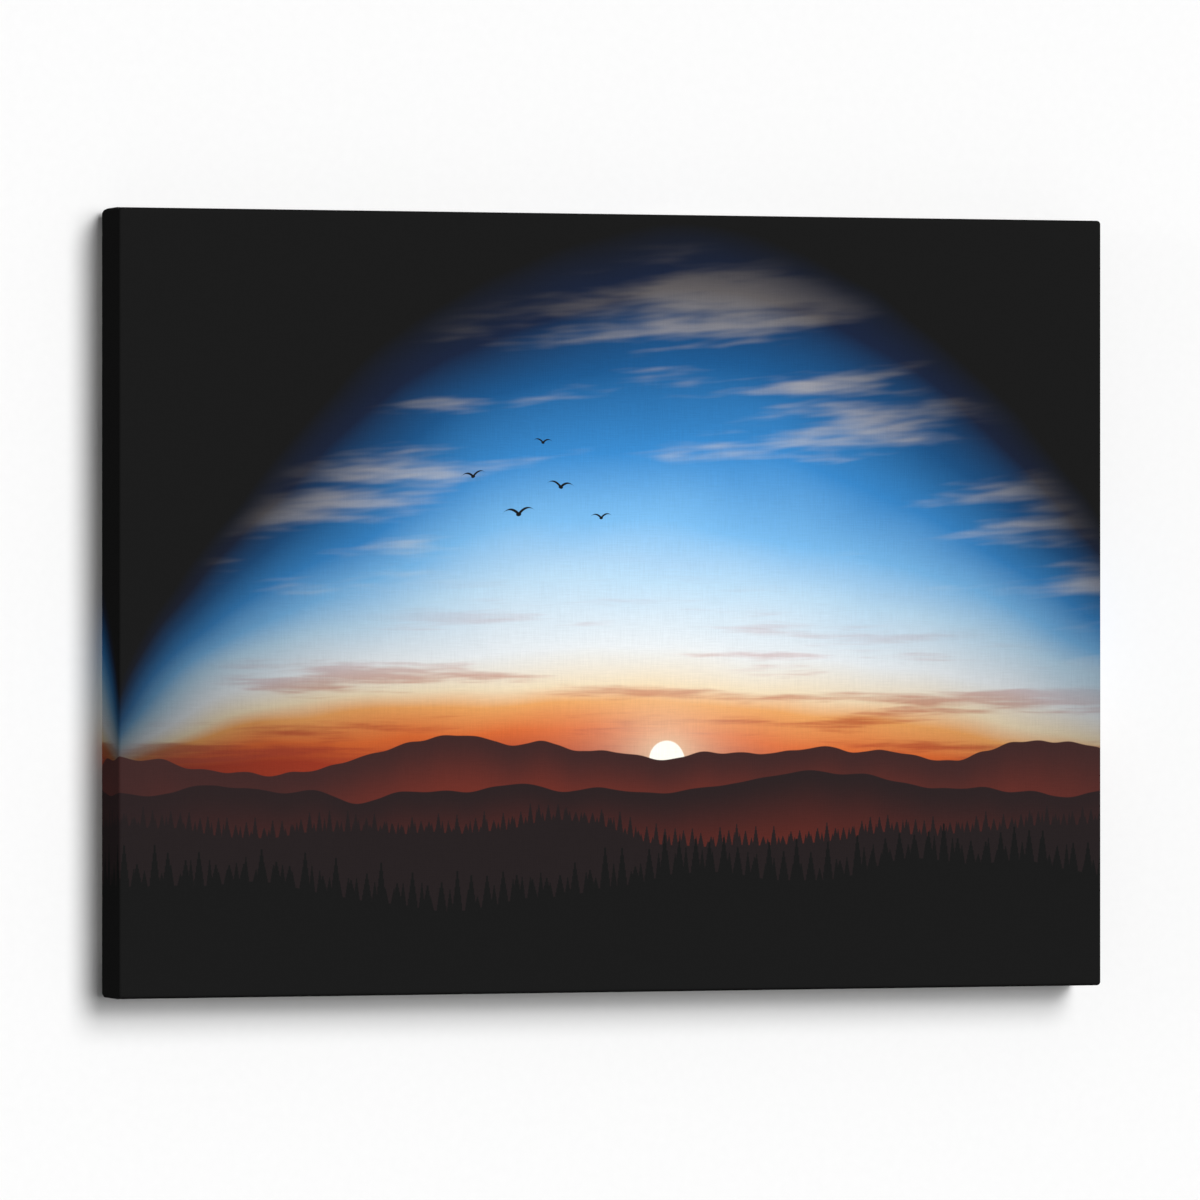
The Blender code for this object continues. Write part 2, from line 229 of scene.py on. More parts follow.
class NodeMaker:
    """Adds nodes to one tree, by their type, settings and sockets."""

    def __init__(self, tree):
        self.nodes = tree.nodes
        self.links = tree.links

    def node(self, kind, settings, sockets):
        """Any node: its settings are set first, then the values or links of its sockets."""
        made = self.nodes.new(kind)
        for key, value in settings.items():
            if key == "stops":
                self.set_stops(made.color_ramp, value)
            else:
                setattr(made, key, value)
        self.feed(made, sockets)
        return made

    def feed(self, made, sockets):
        """Links or sets a node's sockets; a colour may leave out its alpha."""
        for key, value in sockets.items():
            socket = made.inputs[key]
            if isinstance(value, Number):
                value = value.socket
            if isinstance(value, bpy.types.NodeSocket):
                self.links.new(value, socket)
            elif socket.type == "RGBA" and len(value) == 3:
                socket.default_value = (*value, 1.0)
            else:
                socket.default_value = value

    @staticmethod
    def set_stops(ramp, stops):
        """Stops as (place, colour), in order."""
        while len(ramp.elements) < len(stops):
            ramp.elements.new(1.0)
        for element, (place, shade) in zip(ramp.elements, stops):
            element.position = place
            element.color = (*shade, 1.0)


class Recipe(NodeMaker):
    """A material made of one Principled shader, with its node tree written as expressions."""

    def __init__(self, name):
        self.material = bpy.data.materials.new(name)
        self.material.use_nodes = True
        super().__init__(self.material.node_tree)
        self.shader = self.nodes["Principled BSDF"]

    def number(self, kind, settings, sockets):
        return Number(self, self.node(kind, settings, sockets).outputs[0])

    def vector(self, x, y, z=0.0):
        return self.node("ShaderNodeCombineXYZ", {}, {0: x, 1: y, 2: z}).outputs[0]

    def parts(self, vector):
        made = self.node("ShaderNodeSeparateXYZ", {}, {0: vector})
        return [Number(self, socket) for socket in made.outputs]

    def place(self):
        """The point on the object, in metres."""
        return self.node("ShaderNodeTexCoord", {}, {}).outputs["Object"]

    def cloth_place(self):
        return self.node("ShaderNodeTexCoord", {}, {}).outputs["UV"]

    def noise(self, vector, scale=1.0, detail=2.0, roughness=0.5):
        sockets = {"Vector": vector, "Scale": scale, "Detail": detail, "Roughness": roughness}
        return self.number("ShaderNodeTexNoise", {"noise_dimensions": "3D"}, sockets)

    def flat_noise(self, x, y, detail=2.0, roughness=0.5):
        sockets = {"Vector": self.vector(x, y), "Scale": 1.0, "Detail": detail, "Roughness": roughness}
        return self.number("ShaderNodeTexNoise", {"noise_dimensions": "2D"}, sockets)

    def chance(self, number):
        """An even random number from 0 to 1 for each whole number."""
        return self.number("ShaderNodeTexWhiteNoise", {"noise_dimensions": "1D"}, {"W": number})

    def ramp(self, factor, stops):
        return self.node("ShaderNodeValToRGB", {"stops": stops}, {0: factor}).outputs[0]

    def mix(self, factor, first, second):
        settings = {"data_type": "RGBA", "clamp_factor": True}
        return self.node("ShaderNodeMix", settings, {0: factor, 6: first, 7: second}).outputs[2]

    def shade(self, shader_colour, amount):
        """A colour made darker or lighter by a number round 1."""
        grey = self.vector(amount, amount, amount)
        settings = {"operation": "MULTIPLY"}
        return self.node("ShaderNodeVectorMath", settings, {0: shader_colour, 1: grey}).outputs[0]

    def bump(self, height, distance, strength=1.0):
        sockets = {"Height": height, "Distance": distance, "Strength": strength}
        return self.node("ShaderNodeBump", {}, sockets).outputs[0]

    def finish(self, **sockets):
        """Feeds the Principled shader. Spaces in socket names are written as underscores."""
        self.feed(self.shader, {key.replace("_", " "): value for key, value in sockets.items()})
        return self.material


# The print and the other materials


def weave(recipe, cloth, along, across):
    """(height, tone) of a plain weave over the flat cloth; tone is near 1, differs by thread at random, and
    also holds painted shade: darker between the threads and lighter on their crowns.
    """
    pitch = cloth.thread_pitch
    warp = (along * (math.pi / pitch)).cosine()
    weft = (across * (math.pi / pitch)).cosine()
    over = warp.sign() * weft * 0.4 + abs(warp) * 0.6
    under = weft.sign() * warp * -0.4 + abs(weft) * 0.6
    height = over.most(under)
    upright = recipe.flat_noise(along * (0.9 / pitch), across * 75.0, 2.0, 0.6)
    level = recipe.flat_noise(along * 75.0 + 40.0, across * (0.9 / pitch), 2.0, 0.6)
    slub = upright + level - 1.0
    # tone: random thread tone plus painted shade from the weave's height, darker in its hollows
    return height + slub * 1.2, slub * cloth.slub * 2.0 + height * 0.07 + 0.955


def cloth_coordinates(recipe):
    """Metres from the flat cloth's centre; its UV map holds them as shares of its width."""
    u, v, _ = recipe.parts(recipe.cloth_place())
    return (u - 0.5) * FLAT_SPAN, (v - 0.5) * FLAT_SPAN


PRINT_LINE = 0.0003     # half the softness of a printed outline
PRINT_BLUR = 0.0005     # of the sun's
PRINT_END = 0.0002      # and of the print's own end on the flaps


def mirrored(place, half):
    """A coordinate that turns back at the front's edge, as a mirror wrap does."""
    return place.sign() * (half - abs(half - abs(place)))


def ridge(recipe, x, base, swell, wave, phase):
    """The height of a row of hills over x."""
    return recipe.flat_noise(x * wave + phase, phase, 3.0, 0.55) * (2 * swell) + (base - swell)


def conifers(recipe, x, pitch, low, high, phase):
    """The height that a row of pointed trees adds to a ridge."""
    cell = (x + phase) / pitch
    tall = recipe.chance(cell.floor()) * (high - low) + low
    lean = (recipe.chance(cell.floor() + 0.5) - 0.5) * 0.5
    slope = (1.0 - abs(cell.fraction() - 0.5 + lean * 0.4) * 2.6).most(0.0)
    boughs = (slope * 6.0).fraction() * 0.16
    return (slope - boughs).most(0.0) * tall


def bird(recipe, x, y, place, span, tilt):
    """1 inside the outline of a gliding bird with two bent wings."""
    across, up = (x - place[0]) / span, (y - place[1]) / span
    up = up - across * tilt
    reach = abs(across)
    wing = reach * 1.15 - reach * reach * 1.05
    thick = (1.0 - reach) * 0.13
    inside = (thick - abs(up - wing)) * 30.0
    body = (0.17 - (across * across + up * up * 1.8).root()) * 30.0
    return inside.most(body).clamped()


def dawn_sky(recipe, ink, x, y):
    """(colour, glow) of the sky: an arch of light under the night, with clouds and a low sun."""
    aside = (x - ink.glow_place) / ink.glow_width
    glow = (abs(aside).least(1.0) * (math.pi / 2)).cosine().most(0.0) ** 0.8
    drift = recipe.flat_noise(x * 3.0 + 3.1, y * 5.0, 3.0) - 0.5
    up = y - ink.horizon + drift * 0.050
    height = up / (glow * 0.288 + 0.042)
    stops = [
        (0.00, ink.ember),
        (0.05, ink.orange),
        (0.11, ink.amber),
        (0.15, ink.cream),
        (0.23, ink.white),
        (0.35, ink.pale),
        (0.45, ink.sky),
        (0.57, ink.blue),
        (0.71, ink.deep),
        (0.84, ink.navy),
        (0.96, ink.black),
    ]
    sky = recipe.mix((1.0 - glow) * 0.90, recipe.ramp(height.clamped(), stops), ink.black)
    streak = recipe.flat_noise(x * 5.0 + 1.7, y * 60.0, 4.0, 0.6)
    low_cloud = streak.step(0.50, 0.66) * height.step(0.42, 0.02) * 0.75
    sky = recipe.mix(low_cloud, sky, recipe.mix(glow, ink.maroon, ink.ember))
    veil = recipe.flat_noise(x * 3.5 + 9.3, y * 26.0 - x * 2.0, 4.0, 0.62)
    high_cloud = veil.step(0.52, 0.74) * height.step(0.30, 0.50) * height.step(0.95, 0.62) * glow
    sky = recipe.mix(high_cloud * 0.45, sky, ink.cream)
    far = ((x - ink.glow_place) * (x - ink.glow_place) + up * up).root()
    sky = recipe.mix((far * -38.0).exponent() * 0.9, sky, ink.cream)
    disc = far.step(ink.sun_radius + PRINT_BLUR, ink.sun_radius - PRINT_BLUR)
    return recipe.mix(disc, sky, ink.sunlight), glow


def flock(recipe, x, y):
    """1 inside any of five birds."""
    inside = None
    for place, span, tilt in (
        ((-0.062, 0.052), 0.0105, 0.10),
        ((-0.036, 0.068), 0.0090, -0.12),
        ((-0.090, 0.074), 0.0080, 0.18),
        ((-0.011, 0.050), 0.0072, 0.05),
        ((-0.047, 0.094), 0.0064, -0.06),
    ):
        outline = bird(recipe, x, y, place, span, tilt)
        inside = outline if inside is None else inside.most(outline)
    return inside


def land(recipe, ink, x, y, glow, sky):
    """Two misty rows of hills and two rows of woods, painted over the sky."""
    haze = recipe.mix(glow, ink.maroon, ink.ember)
    # each row: its ridge's base, swell, wave and phase, its colour, and the mist's depth and share
    for base, swell, wave, phase, shade, depth, share in (
        (0.010, 0.030, 6.5, 2.0, ink.maroon, 0.040, 0.34),
        (-0.012, 0.034, 5.0, 11.0, ink.umber, 0.050, 0.22),
    ):
        below = ridge(recipe, x, ink.horizon + base, swell, wave, phase) - y
        misty = recipe.mix(below.step(0.0, depth) * share, shade, haze)
        sky = recipe.mix(below.step(-PRINT_LINE, PRINT_LINE), sky, misty)
    # each row: its ridge's base, swell, wave and phase, its trees' pitch, heights and phase, its colour
    for base, swell, wave, phase, pitch, low, high, start, shade in (
        (-0.036, 0.030, 4.0, 23.0, 0.0056, 0.006, 0.015, 0.013, ink.bark),
        (-0.068, 0.040, 3.1, 37.0, 0.0092, 0.012, 0.030, 0.031, ink.black),
    ):
        crest = ridge(recipe, x, ink.horizon + base, swell, wave, phase)
        trees = conifers(recipe, x, pitch, low, high, start)
        trees = trees.most(conifers(recipe, x, pitch * 0.61, low * 0.6, high * 0.6, start + 1.3))
        sky = recipe.mix((crest + trees - y).step(-PRINT_LINE, PRINT_LINE), sky, shade)
    return sky


def painted_dawn(recipe, ink, x, y):
    """The print: a dawn sky over wooded hills. x and y are metres from the centre of the front."""
    sky, glow = dawn_sky(recipe, ink, x, y)
    sky = recipe.mix(flock(recipe, x, y), sky, ink.black)
    return land(recipe, ink, x, y, glow, sky)


def printed_cloth(cloth, ink):
    """The outer side: the print, varnished on the front and mirrored round the sides, then bare primer."""
    recipe = Recipe("printed_canvas")
    x, y = cloth_coordinates(recipe)
    beyond = (abs(x) - WIDTH / 2).most(abs(y) - HEIGHT / 2)
    picture = painted_dawn(recipe, ink, mirrored(x, WIDTH / 2), mirrored(y, HEIGHT / 2))
    height, tone = weave(recipe, cloth, x, y)
    waver = (recipe.flat_noise(x * 60.0, y * 60.0, 1.0) - 0.5) * 0.0006
    end = DEPTH + ink.over_back
    bare = (beyond + waver).step(end - PRINT_END, end + PRINT_END)
    grubby = recipe.flat_noise(x * 9.0 + 4.0, y * 9.0, 2.0) * 0.10 + 0.93
    base = recipe.mix(bare, picture, recipe.shade(cloth.primer, grubby))
    on_front = beyond.step(0.0010, -0.0015)
    # the weave's tone varies the print by thread at random and adds painted shade, darker between the threads
    return recipe.finish(
        Base_Color=recipe.shade(base, tone),
        Roughness=0.86 - tone * 0.04,
        Normal=recipe.bump(height, 0.00009, 0.7),
        Specular_IOR_Level=0.03,
        Coat_Weight=on_front * 0.17,
        Coat_Roughness=0.85,
    )


def raw_cloth(cloth):
    """The inner side and the cut edge: unprimed cotton with its threads showing, with painted shade darker
    between them.
    """
    recipe = Recipe("raw_canvas")
    x, y = cloth_coordinates(recipe)
    height, tone = weave(recipe, cloth, x, y)
    stain = recipe.flat_noise(x * 7.0 + 1.0, y * 7.0, 4.0)
    fleck = recipe.flat_noise(x * 420.0 + 5.0, y * 420.0, 1.0).step(0.74, 0.82)
    base = recipe.shade(cloth.raw, stain * 0.14 + 0.92)
    base = recipe.mix(fleck * 0.35, base, tint(150, 122, 84))
    # the stretched weave tone holds random thread tone and painted shade, darker between the threads
    return recipe.finish(
        Base_Color=recipe.shade(base, tone * 2.6 - 1.6),
        Roughness=0.92,
        Normal=recipe.bump(height, 0.00018, 0.9),
        Specular_IOR_Level=0.12,
        Sheen_Weight=0.15,
    )


def pine(name, timber, grain, start, figure=1.0):
    """Planed pine with its grain along one axis, 0 for X and 2 for Z; figure is how strong the rings show."""
    recipe = Recipe(name)
    x, y, z = recipe.parts(recipe.place())
    along, side = (x, z) if grain == 0 else (z, x)
    along = along + start * 1.7
    slow = recipe.vector(along * 1.3, side * 9.0, y * 9.0)
    bend = recipe.noise(slow, detail=2.0) - 0.5
    knots = recipe.vector(along * 4.2, side * 12.0 + start, y * 12.0)
    made = recipe.node("ShaderNodeTexVoronoi", {"feature": "F1"}, {"Vector": knots, "Scale": 1.0})
    near = Number(recipe, made.outputs["Distance"])
    knot = near.step(0.17, 0.10)
    swirl = (near * -5.0).exponent()
    far = start * 0.013
    radial_side = side + (bend * 0.022 + swirl * 0.010 + far)
    radial_depth = y + (bend * 0.016 + 0.031)
    radius = (radial_side * radial_side + radial_depth * radial_depth).root()
    ring = (radius / timber.ring_pitch).fraction()
    late = ring.step(0.35, 0.93) * ring.step(1.0, 0.95)
    fibre = recipe.noise(recipe.vector(along * 26.0, side * 1500.0, y * 1500.0), detail=2.0, roughness=0.6)
    pore = recipe.noise(recipe.vector(along * 90.0, side * 3800.0, y * 3800.0), detail=1.0).step(0.60, 0.72)
    base = recipe.mix(late * (0.62 * figure) + fibre * 0.16, timber.early, timber.late)
    base = recipe.mix(pore * 0.22, base, timber.knot)
    base = recipe.mix(swirl * 0.35, base, timber.late)
    base = recipe.mix(knot * 0.85, base, timber.knot)
    tone = recipe.noise(recipe.vector(along * 2.1, side * 20.0, y * 20.0), detail=1.0) * 0.16 + 0.91
    rough = late * -0.08 + fibre * 0.12 + 0.60
    relief = late * (0.5 * figure) + fibre * 0.35 - pore * 0.3
    return recipe.finish(
        Base_Color=recipe.shade(base, tone),
        Roughness=rough,
        Normal=recipe.bump(relief, 0.00012, 0.8),
        Specular_IOR_Level=0.35,
    )


def plated(name, shade, rough):
    """Zinc-plated steel, with the cloudy bloom and fine scratches of tumbled hardware."""
    recipe = Recipe(name)
    place = recipe.place()
    bloom = recipe.noise(place, scale=420.0, detail=3.0)
    x, y, z = recipe.parts(place)
    scratch = recipe.noise(recipe.vector(x * 300.0, y * 900.0, z * 6000.0), detail=2.0)
    base = recipe.shade(shade, bloom * 0.22 + 0.86)
    return recipe.finish(
        Base_Color=base,
        Metallic=1.0,
        Roughness=bloom * 0.14 + scratch * 0.08 + (rough - 0.10),
        Normal=recipe.bump(scratch, 0.00002, 0.5),
    )


def soft_rubber(hardware):
    recipe = Recipe("wall_dot_rubber")
    dust = recipe.noise(recipe.place(), scale=900.0, detail=3.0)
    base = recipe.mix(dust * 0.30, hardware.rubber, tint(92, 90, 88))
    return recipe.finish(
        Base_Color=base,
        Roughness=dust * 0.25 + 0.55,
        Normal=recipe.bump(dust, 0.00003, 0.5),
    )


# Meshes

TOUCH = 1e-7            # points nearer than this are one
WELD = 1e-6             # and the same for a CAD mesh


def link(name, data):
    """A new object in the scene."""
    obj = bpy.data.objects.new(name, data)
    bpy.context.scene.collection.objects.link(obj)
    return obj


def plain_mesh(obj, name):
    """The evaluated object as a plain mesh object in its place; what it was made from is removed."""
    bpy.context.view_layer.update()
    graph = bpy.context.evaluated_depsgraph_get()
    mesh = bpy.data.meshes.new_from_object(obj.evaluated_get(graph))
    mesh.transform(obj.matrix_world)
    bpy.data.objects.remove(obj)
    mesh.name = name
    return link(name, mesh)


def wear(obj, *materials):
    """The object's materials, in the order of its faces' material numbers."""
    obj.data.materials.clear()
    for material in materials:
        obj.data.materials.append(material)


def enter(obj, materials, body, slot, *nodes, angle=35.0):
    """Finishes a piece: shading, materials, the body it rides on and the nodes it stands for; slot is not
    used.

    Edges sharper than angle stay sharp; without an angle none does.
    """
    obj.data.shade_smooth()
    if angle:
        obj.data.set_sharp_from_angle(angle=math.radians(angle))
    wear(obj, *materials)
    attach(obj, body)
    if nodes:
        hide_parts(*nodes)


def solid_copy(node, name):
    """A CAD node as one clean welded mesh with flat faces, ready for a bevel."""
    work = bmesh.new()
    work.from_mesh(frame["nodes"][node].data)
    bmesh.ops.remove_doubles(work, verts=work.verts, dist=WELD)
    limit = math.radians(0.5)
    bmesh.ops.dissolve_limit(work, angle_limit=limit, verts=work.verts, edges=work.edges)
    return link(name, bare_mesh(work, name))


def bare_mesh(work, name):
    """The bmesh as a new mesh, with faces pointing out and no normals of its own."""
    bmesh.ops.recalc_face_normals(work, faces=work.faces)
    mesh = bpy.data.meshes.new(name)
    work.to_mesh(mesh)
    work.free()
    for attribute in [a for a in mesh.attributes if a.name == "custom_normal"]:
        mesh.attributes.remove(attribute)
    return mesh


def rounded(obj, width, angle=30.0):
    """A live bevel on the edges sharper than angle."""
    bevel = obj.modifiers.new("worn_edges", "BEVEL")
    bevel.width = width
    bevel.segments = 2
    bevel.limit_method = "ANGLE"
    bevel.angle_limit = math.radians(angle)
    bevel.use_clamp_overlap = True


def even(low, high, count):
    """The ends of count equal steps from low to high."""
    return [low + (high - low) * i / count for i in range(count + 1)]


def arc(centre, radius, start, end, steps):
    """Points in a plane, on an arc from start to end in degrees."""
    turns = [math.radians(turn) for turn in even(start, end, steps)]
    return [(centre[0] + radius * math.cos(t), centre[1] + radius * math.sin(t)) for t in turns]


# The cloth

CORNER_ZONE = 0.072     # from an edge: where the tucked layers can lie
FOLD_START = 0.008      # depth behind the front at which the tucked layers begin to show
FOLD_SLOPE = 0.0032     # how gently the top layer falls from them
FOLD_CRISP = 0.0011     # and how sharply it falls at a folded edge
DROP_ASIDE = 0.013      # how far along the edges a rear corner sinks
UPPER_DROP_DEPTH = 0.0085   # how deep the slanted part of an upper rear corner is
LOWER_DROP_DEPTH = 0.003    # and of a lower one, which sinks half as far
STAPLED = 0.014         # from an edge: as far as the staples hold a flap flat
STRAP_PRESS = 0.010     # from a strap's middle: where it presses the flap flat
STRAP_EASE = 0.014      # and the stretch over which the flap comes free
MITRE_EASE = 0.010      # the same beside a mitred end, where it is flat too
FINE_STEP = 0.0015      # of the cloth's grid near its edges
COARSE_STEP = 0.004     # and away from them
FRONT_RING = 0.005      # band of small faces round the flat front
FRONT_CELL = 0.045      # least width of the wide faces inside it
ARC_STEPS = 4           # in a rounded edge


def smoothstep(value):
    """0 below 0, 1 above 1 and smooth between."""
    value = min(max(value, 0.0), 1.0)
    return value * value * (3 - 2 * value)


def spread(low, high, step):
    """Even places from low to high, both included, about step apart."""
    return even(low, high, max(1, round((high - low) / step)))


def edge_places(radius, zone):
    """Distances from an edge: even angles round its arc, then fine steps through the corner zone."""
    bend = [radius * (1 - math.tan(math.radians(45 - 45 * i / ARC_STEPS))) for i in range(ARC_STEPS)]
    return bend + spread(radius, zone, FINE_STEP)


def both_ends(low, high, from_edge, step):
    """Places along one axis, made alike from both ends."""
    ends = [low + e for e in from_edge]
    middle = spread(ends[-1], high - from_edge[-1], step)[1:-1]
    return ends + middle + [high - e for e in reversed(from_edge)]


def cells(first, second):
    """A grid's cells: each cell's low and high place on the first axis, then on the second."""
    for a, b in zip(first, first[1:]):
        for c, d in zip(second, second[1:]):
            yield a, b, c, d


class WrappedCloth:
    """Builds the cloth as a grid on a box that is rounded, folded and puckered point by point."""

    def __init__(self, cloth, hangers):
        self.cloth = cloth
        self.hangers = hangers
        self.work = bmesh.new()
        self.uv = self.work.loops.layers.uv.new("cloth")
        self.made = {}
        radius = cloth.edge_radius
        near = edge_places(radius, CORNER_ZONE)
        self.xs = both_ends(LOW.x, HIGH.x, near, COARSE_STEP)
        self.zs = both_ends(LOW.z, HIGH.z, near, COARSE_STEP)
        shallow = edge_places(radius, radius + FINE_STEP)
        self.ys = both_ends(LOW.y, HIGH.y, shallow, FINE_STEP)
        straps = [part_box(f"hanger_strap_{hand}") for hand in HANDS]
        self.held = [((low.x + high.x) / 2, (low.z + high.z) / 2) for low, high in straps]

    def from_edges(self, x, y, z):
        """Distances from the nearer side, the front and the nearer end."""
        return min(x - LOW.x, HIGH.x - x), y - LOW.y, min(z - LOW.z, HIGH.z - z)

    def lift(self, aside, deep, down, x, z):
        """How far the outer surface stands off its plain place."""
        cloth = self.cloth
        on_back = deep > DEPTH - TOUCH
        on_end = down < TOUCH
        rise = 0.0
        if on_end or (on_back and aside > down):
            travel = deep + (down if on_back else 0.0)
            inward = aside - (down if on_back else 0.0)
            tucked = 1 - smoothstep((aside - travel + FOLD_START) / FOLD_SLOPE)
            rise = cloth.fold_rise * smoothstep(inward / FOLD_CRISP) * tucked
        if on_back:
            rise += self.puckered(aside, down, x, z)
        return rise

    def puckered(self, aside, down, x, z):
        """The raw edge of a flap lifts between its staples and stays down near a hanger."""
        cloth = self.cloth
        inset = min(aside, down)
        run = x - CENTRE.x if down < aside else z - CENTRE.z
        toward_edge = smoothstep((inset - STAPLED) / (cloth.flap - STAPLED))
        wave = 0.5 - 0.5 * math.cos(2 * math.pi * run / self.hangers.staple_pitch)
        uneven = 0.6 + 0.8 * noise.noise(Vector((x * 23, z * 23, 0.3)))
        near_strap = min(math.hypot(x - place[0], z - place[1]) for place in self.held)
        free = smoothstep((near_strap - STRAP_PRESS) / STRAP_EASE)
        corner = smoothstep((abs(aside - down) - 0.002) / MITRE_EASE)
        return cloth.pucker * toward_edge * wave * max(uneven, 0.0) * free * corner

    def point(self, x, y, z):
        """The outer surface's point for a point on the plain box."""
        radius = self.cloth.edge_radius
        plain = Vector((x, y, z))
        inner = Vector(max(LOW[i] + radius, min(HIGH[i] - radius, plain[i])) for i in range(3))
        normal = (plain - inner).normalized()
        aside, deep, down = self.from_edges(x, y, z)
        place = inner + normal * (radius + self.lift(aside, deep, down, x, z))
        near = (1 - smoothstep(aside / DROP_ASIDE)) * (1 - smoothstep(down / DROP_ASIDE))
        drop, reach = self.cloth.corner_drop, UPPER_DROP_DEPTH
        if z < CENTRE.z:
            drop, reach = -drop / 2, LOWER_DROP_DEPTH
        place.z -= drop * near * max(0.0, 1 - (DEPTH - deep) / reach)
        return place

    def vert(self, x, y, z):
        """The one vertex for a point on the plain box."""
        key = (round(x * 1e6), round(y * 1e6), round(z * 1e6))
        if key not in self.made:
            self.made[key] = self.work.verts.new(self.point(x, y, z))
        return self.made[key]

    def face(self, corners, flat):
        """One face over corners of the plain box; flat gives each corner's place on the flat cloth."""
        made = self.work.faces.new([self.vert(*corner) for corner in corners])
        for loop, corner in zip(made.loops, corners):
            across, up = flat(*corner)
            loop[self.uv].uv = (0.5 + (across - CENTRE.x) / FLAT_SPAN, 0.5 + (up - CENTRE.z) / FLAT_SPAN)
        return made

    @staticmethod
    def wrapped(value, low, high, extra):
        """A flat coordinate that runs on past an edge of the front by extra."""
        return high + extra if value > (low + high) / 2 else low - extra

    @staticmethod
    def front_flat(x, y, z):
        return x, z

    def end_flat(self, x, y, z):
        """Where a point of the top, the bottom or their flaps lies on the flat cloth."""
        _, deep, down = self.from_edges(x, y, z)
        return x, self.wrapped(z, LOW.z, HIGH.z, deep + down)

    def side_flat(self, x, y, z):
        """Where a point of a side or its flap lies on the flat cloth."""
        aside, deep, _ = self.from_edges(x, y, z)
        return self.wrapped(x, LOW.x, HIGH.x, deep + aside), z

    @staticmethod
    def halves(corners, first):
        """Two triangles that meet on the line from corner first to the one opposite it."""
        turned = corners[first:] + corners[:first]
        return turned[:3], [turned[0], *turned[2:]]

    @staticmethod
    def level_cell(a, b, c, d, y):
        """The corners of a cell of the front or the back."""
        return [(a, y, c), (b, y, c), (b, y, d), (a, y, d)]

    def end_side(self, z):
        """The top or bottom side, cut along the tucked folds near its corners."""
        for a, b, c, d in cells(self.xs, self.ys):
            corners = [(a, c, z), (b, c, z), (b, d, z), (a, d, z)]
            if min(a - LOW.x, HIGH.x - b) > CORNER_ZONE:
                self.face(corners, self.end_flat)
                continue
            for piece in self.halves(corners, 0 if a < CENTRE.x else 1):
                self.face(piece, self.end_flat)

    def upright_side(self, x):
        """The left or right side."""
        for a, b, c, d in cells(self.zs, self.ys):
            self.face([(x, c, a), (x, c, b), (x, d, b), (x, d, a)], self.side_flat)

    def flaps(self):
        """The back: end flaps and side flaps meet on the diagonals, so cells there are split."""
        for a, b, c, d in cells(self.xs, self.zs):
            aside, _, down = self.from_edges((a + b) / 2, HIGH.y, (c + d) / 2)
            if min(aside, down) > self.cloth.flap:
                continue
            corners = self.level_cell(a, b, c, d, HIGH.y)
            if max(aside, down) > CORNER_ZONE:
                self.face(corners, self.end_flat if aside > down else self.side_flat)
                continue
            first = 0 if (a < CENTRE.x) == (c < CENTRE.z) else 1
            for piece in self.halves(corners, first):
                spans = [self.from_edges(*corner) for corner in piece]
                by_end = sum(span[0] for span in spans) > sum(span[2] for span in spans)
                self.face(piece, self.end_flat if by_end else self.side_flat)

    def front(self):
        """A band of small faces, and one wide face inside it that is then cut into cells."""
        inner_x = [x for x in self.xs if min(x - LOW.x, HIGH.x - x) >= FRONT_RING]
        inner_z = [z for z in self.zs if min(z - LOW.z, HIGH.z - z) >= FRONT_RING]
        for a, b, c, d in cells(self.xs, self.zs):
            if inner_x[0] <= a and b <= inner_x[-1] and inner_z[0] <= c and d <= inner_z[-1]:
                continue
            self.face(self.level_cell(a, b, c, d, LOW.y), self.front_flat)
        rim = [(x, LOW.y, inner_z[0]) for x in inner_x[:-1]]
        rim += [(inner_x[-1], LOW.y, z) for z in inner_z[:-1]]
        rim += [(x, LOW.y, inner_z[-1]) for x in reversed(inner_x[1:])]
        rim += [(inner_x[0], LOW.y, z) for z in reversed(inner_z[1:])]
        wide = [self.face(rim, self.front_flat)]
        wide = self.cut_apart(wide, inner_x, Vector((1, 0, 0)))
        self.cut_apart(wide, inner_z, Vector((0, 0, 1)))

    def cut_apart(self, faces, places, normal):
        """Cuts faces across normal at those places that leave cells wide enough."""
        last = places[0]
        for place in places[1:-1]:
            if place - last < FRONT_CELL or places[-1] - place < FRONT_CELL / 2:
                continue
            last = place
            parts = {part for face in faces for part in (face, *face.edges, *face.verts)}
            cut = bmesh.ops.bisect_plane(
                self.work,
                geom=list(parts),
                dist=TOUCH,
                plane_co=normal * place,
                plane_no=normal,
            )
            faces = [item for item in cut["geom"] if isinstance(item, bmesh.types.BMFace)]
        return faces

    def mesh(self, name):
        """The whole cloth, with its faces pointing out."""
        for z in (LOW.z, HIGH.z):
            self.end_side(z)
        for x in (LOW.x, HIGH.x):
            self.upright_side(x)
        self.flaps()
        self.front()
        bmesh.ops.recalc_face_normals(self.work, faces=self.work.faces)
        faces = self.work.faces
        outward = sum(f.normal.dot(f.calc_center_median() - CENTRE) * f.calc_area() for f in faces)
        if outward < 0:
            bmesh.ops.reverse_faces(self.work, faces=self.work.faces)
        made = bpy.data.meshes.new(name)
        self.work.to_mesh(made)
        self.work.free()
        return made


class CANVAS_OT_stretch_cloth(bpy.types.Operator):
    """Wrap the printed cloth round the stretcher and fold its corners"""

    bl_idname = "canvas_print.stretch_cloth"
    bl_label = "Stretch cloth"

    def execute(self, context):
        scene = context.scene
        cloth = scene.canvas_cloth
        piece = link("canvas_cloth", WrappedCloth(cloth, scene.canvas_hardware).mesh("canvas_cloth"))
        materials = [printed_cloth(cloth, scene.canvas_print), raw_cloth(cloth)]
        inner = piece.modifiers.new("cloth", "SOLIDIFY")
        inner.thickness = cloth.thickness
        inner.offset = -1
        inner.material_offset = 1
        inner.material_offset_rim = 1
        enter(piece, materials, "frame", "printed_canvas", "canvas", angle=None)
        return {"FINISHED"}


# The frame behind the cloth

EASED = (0.016, 0.013, 0.0026)      # how far a facet reaches along the bar, in depth and down


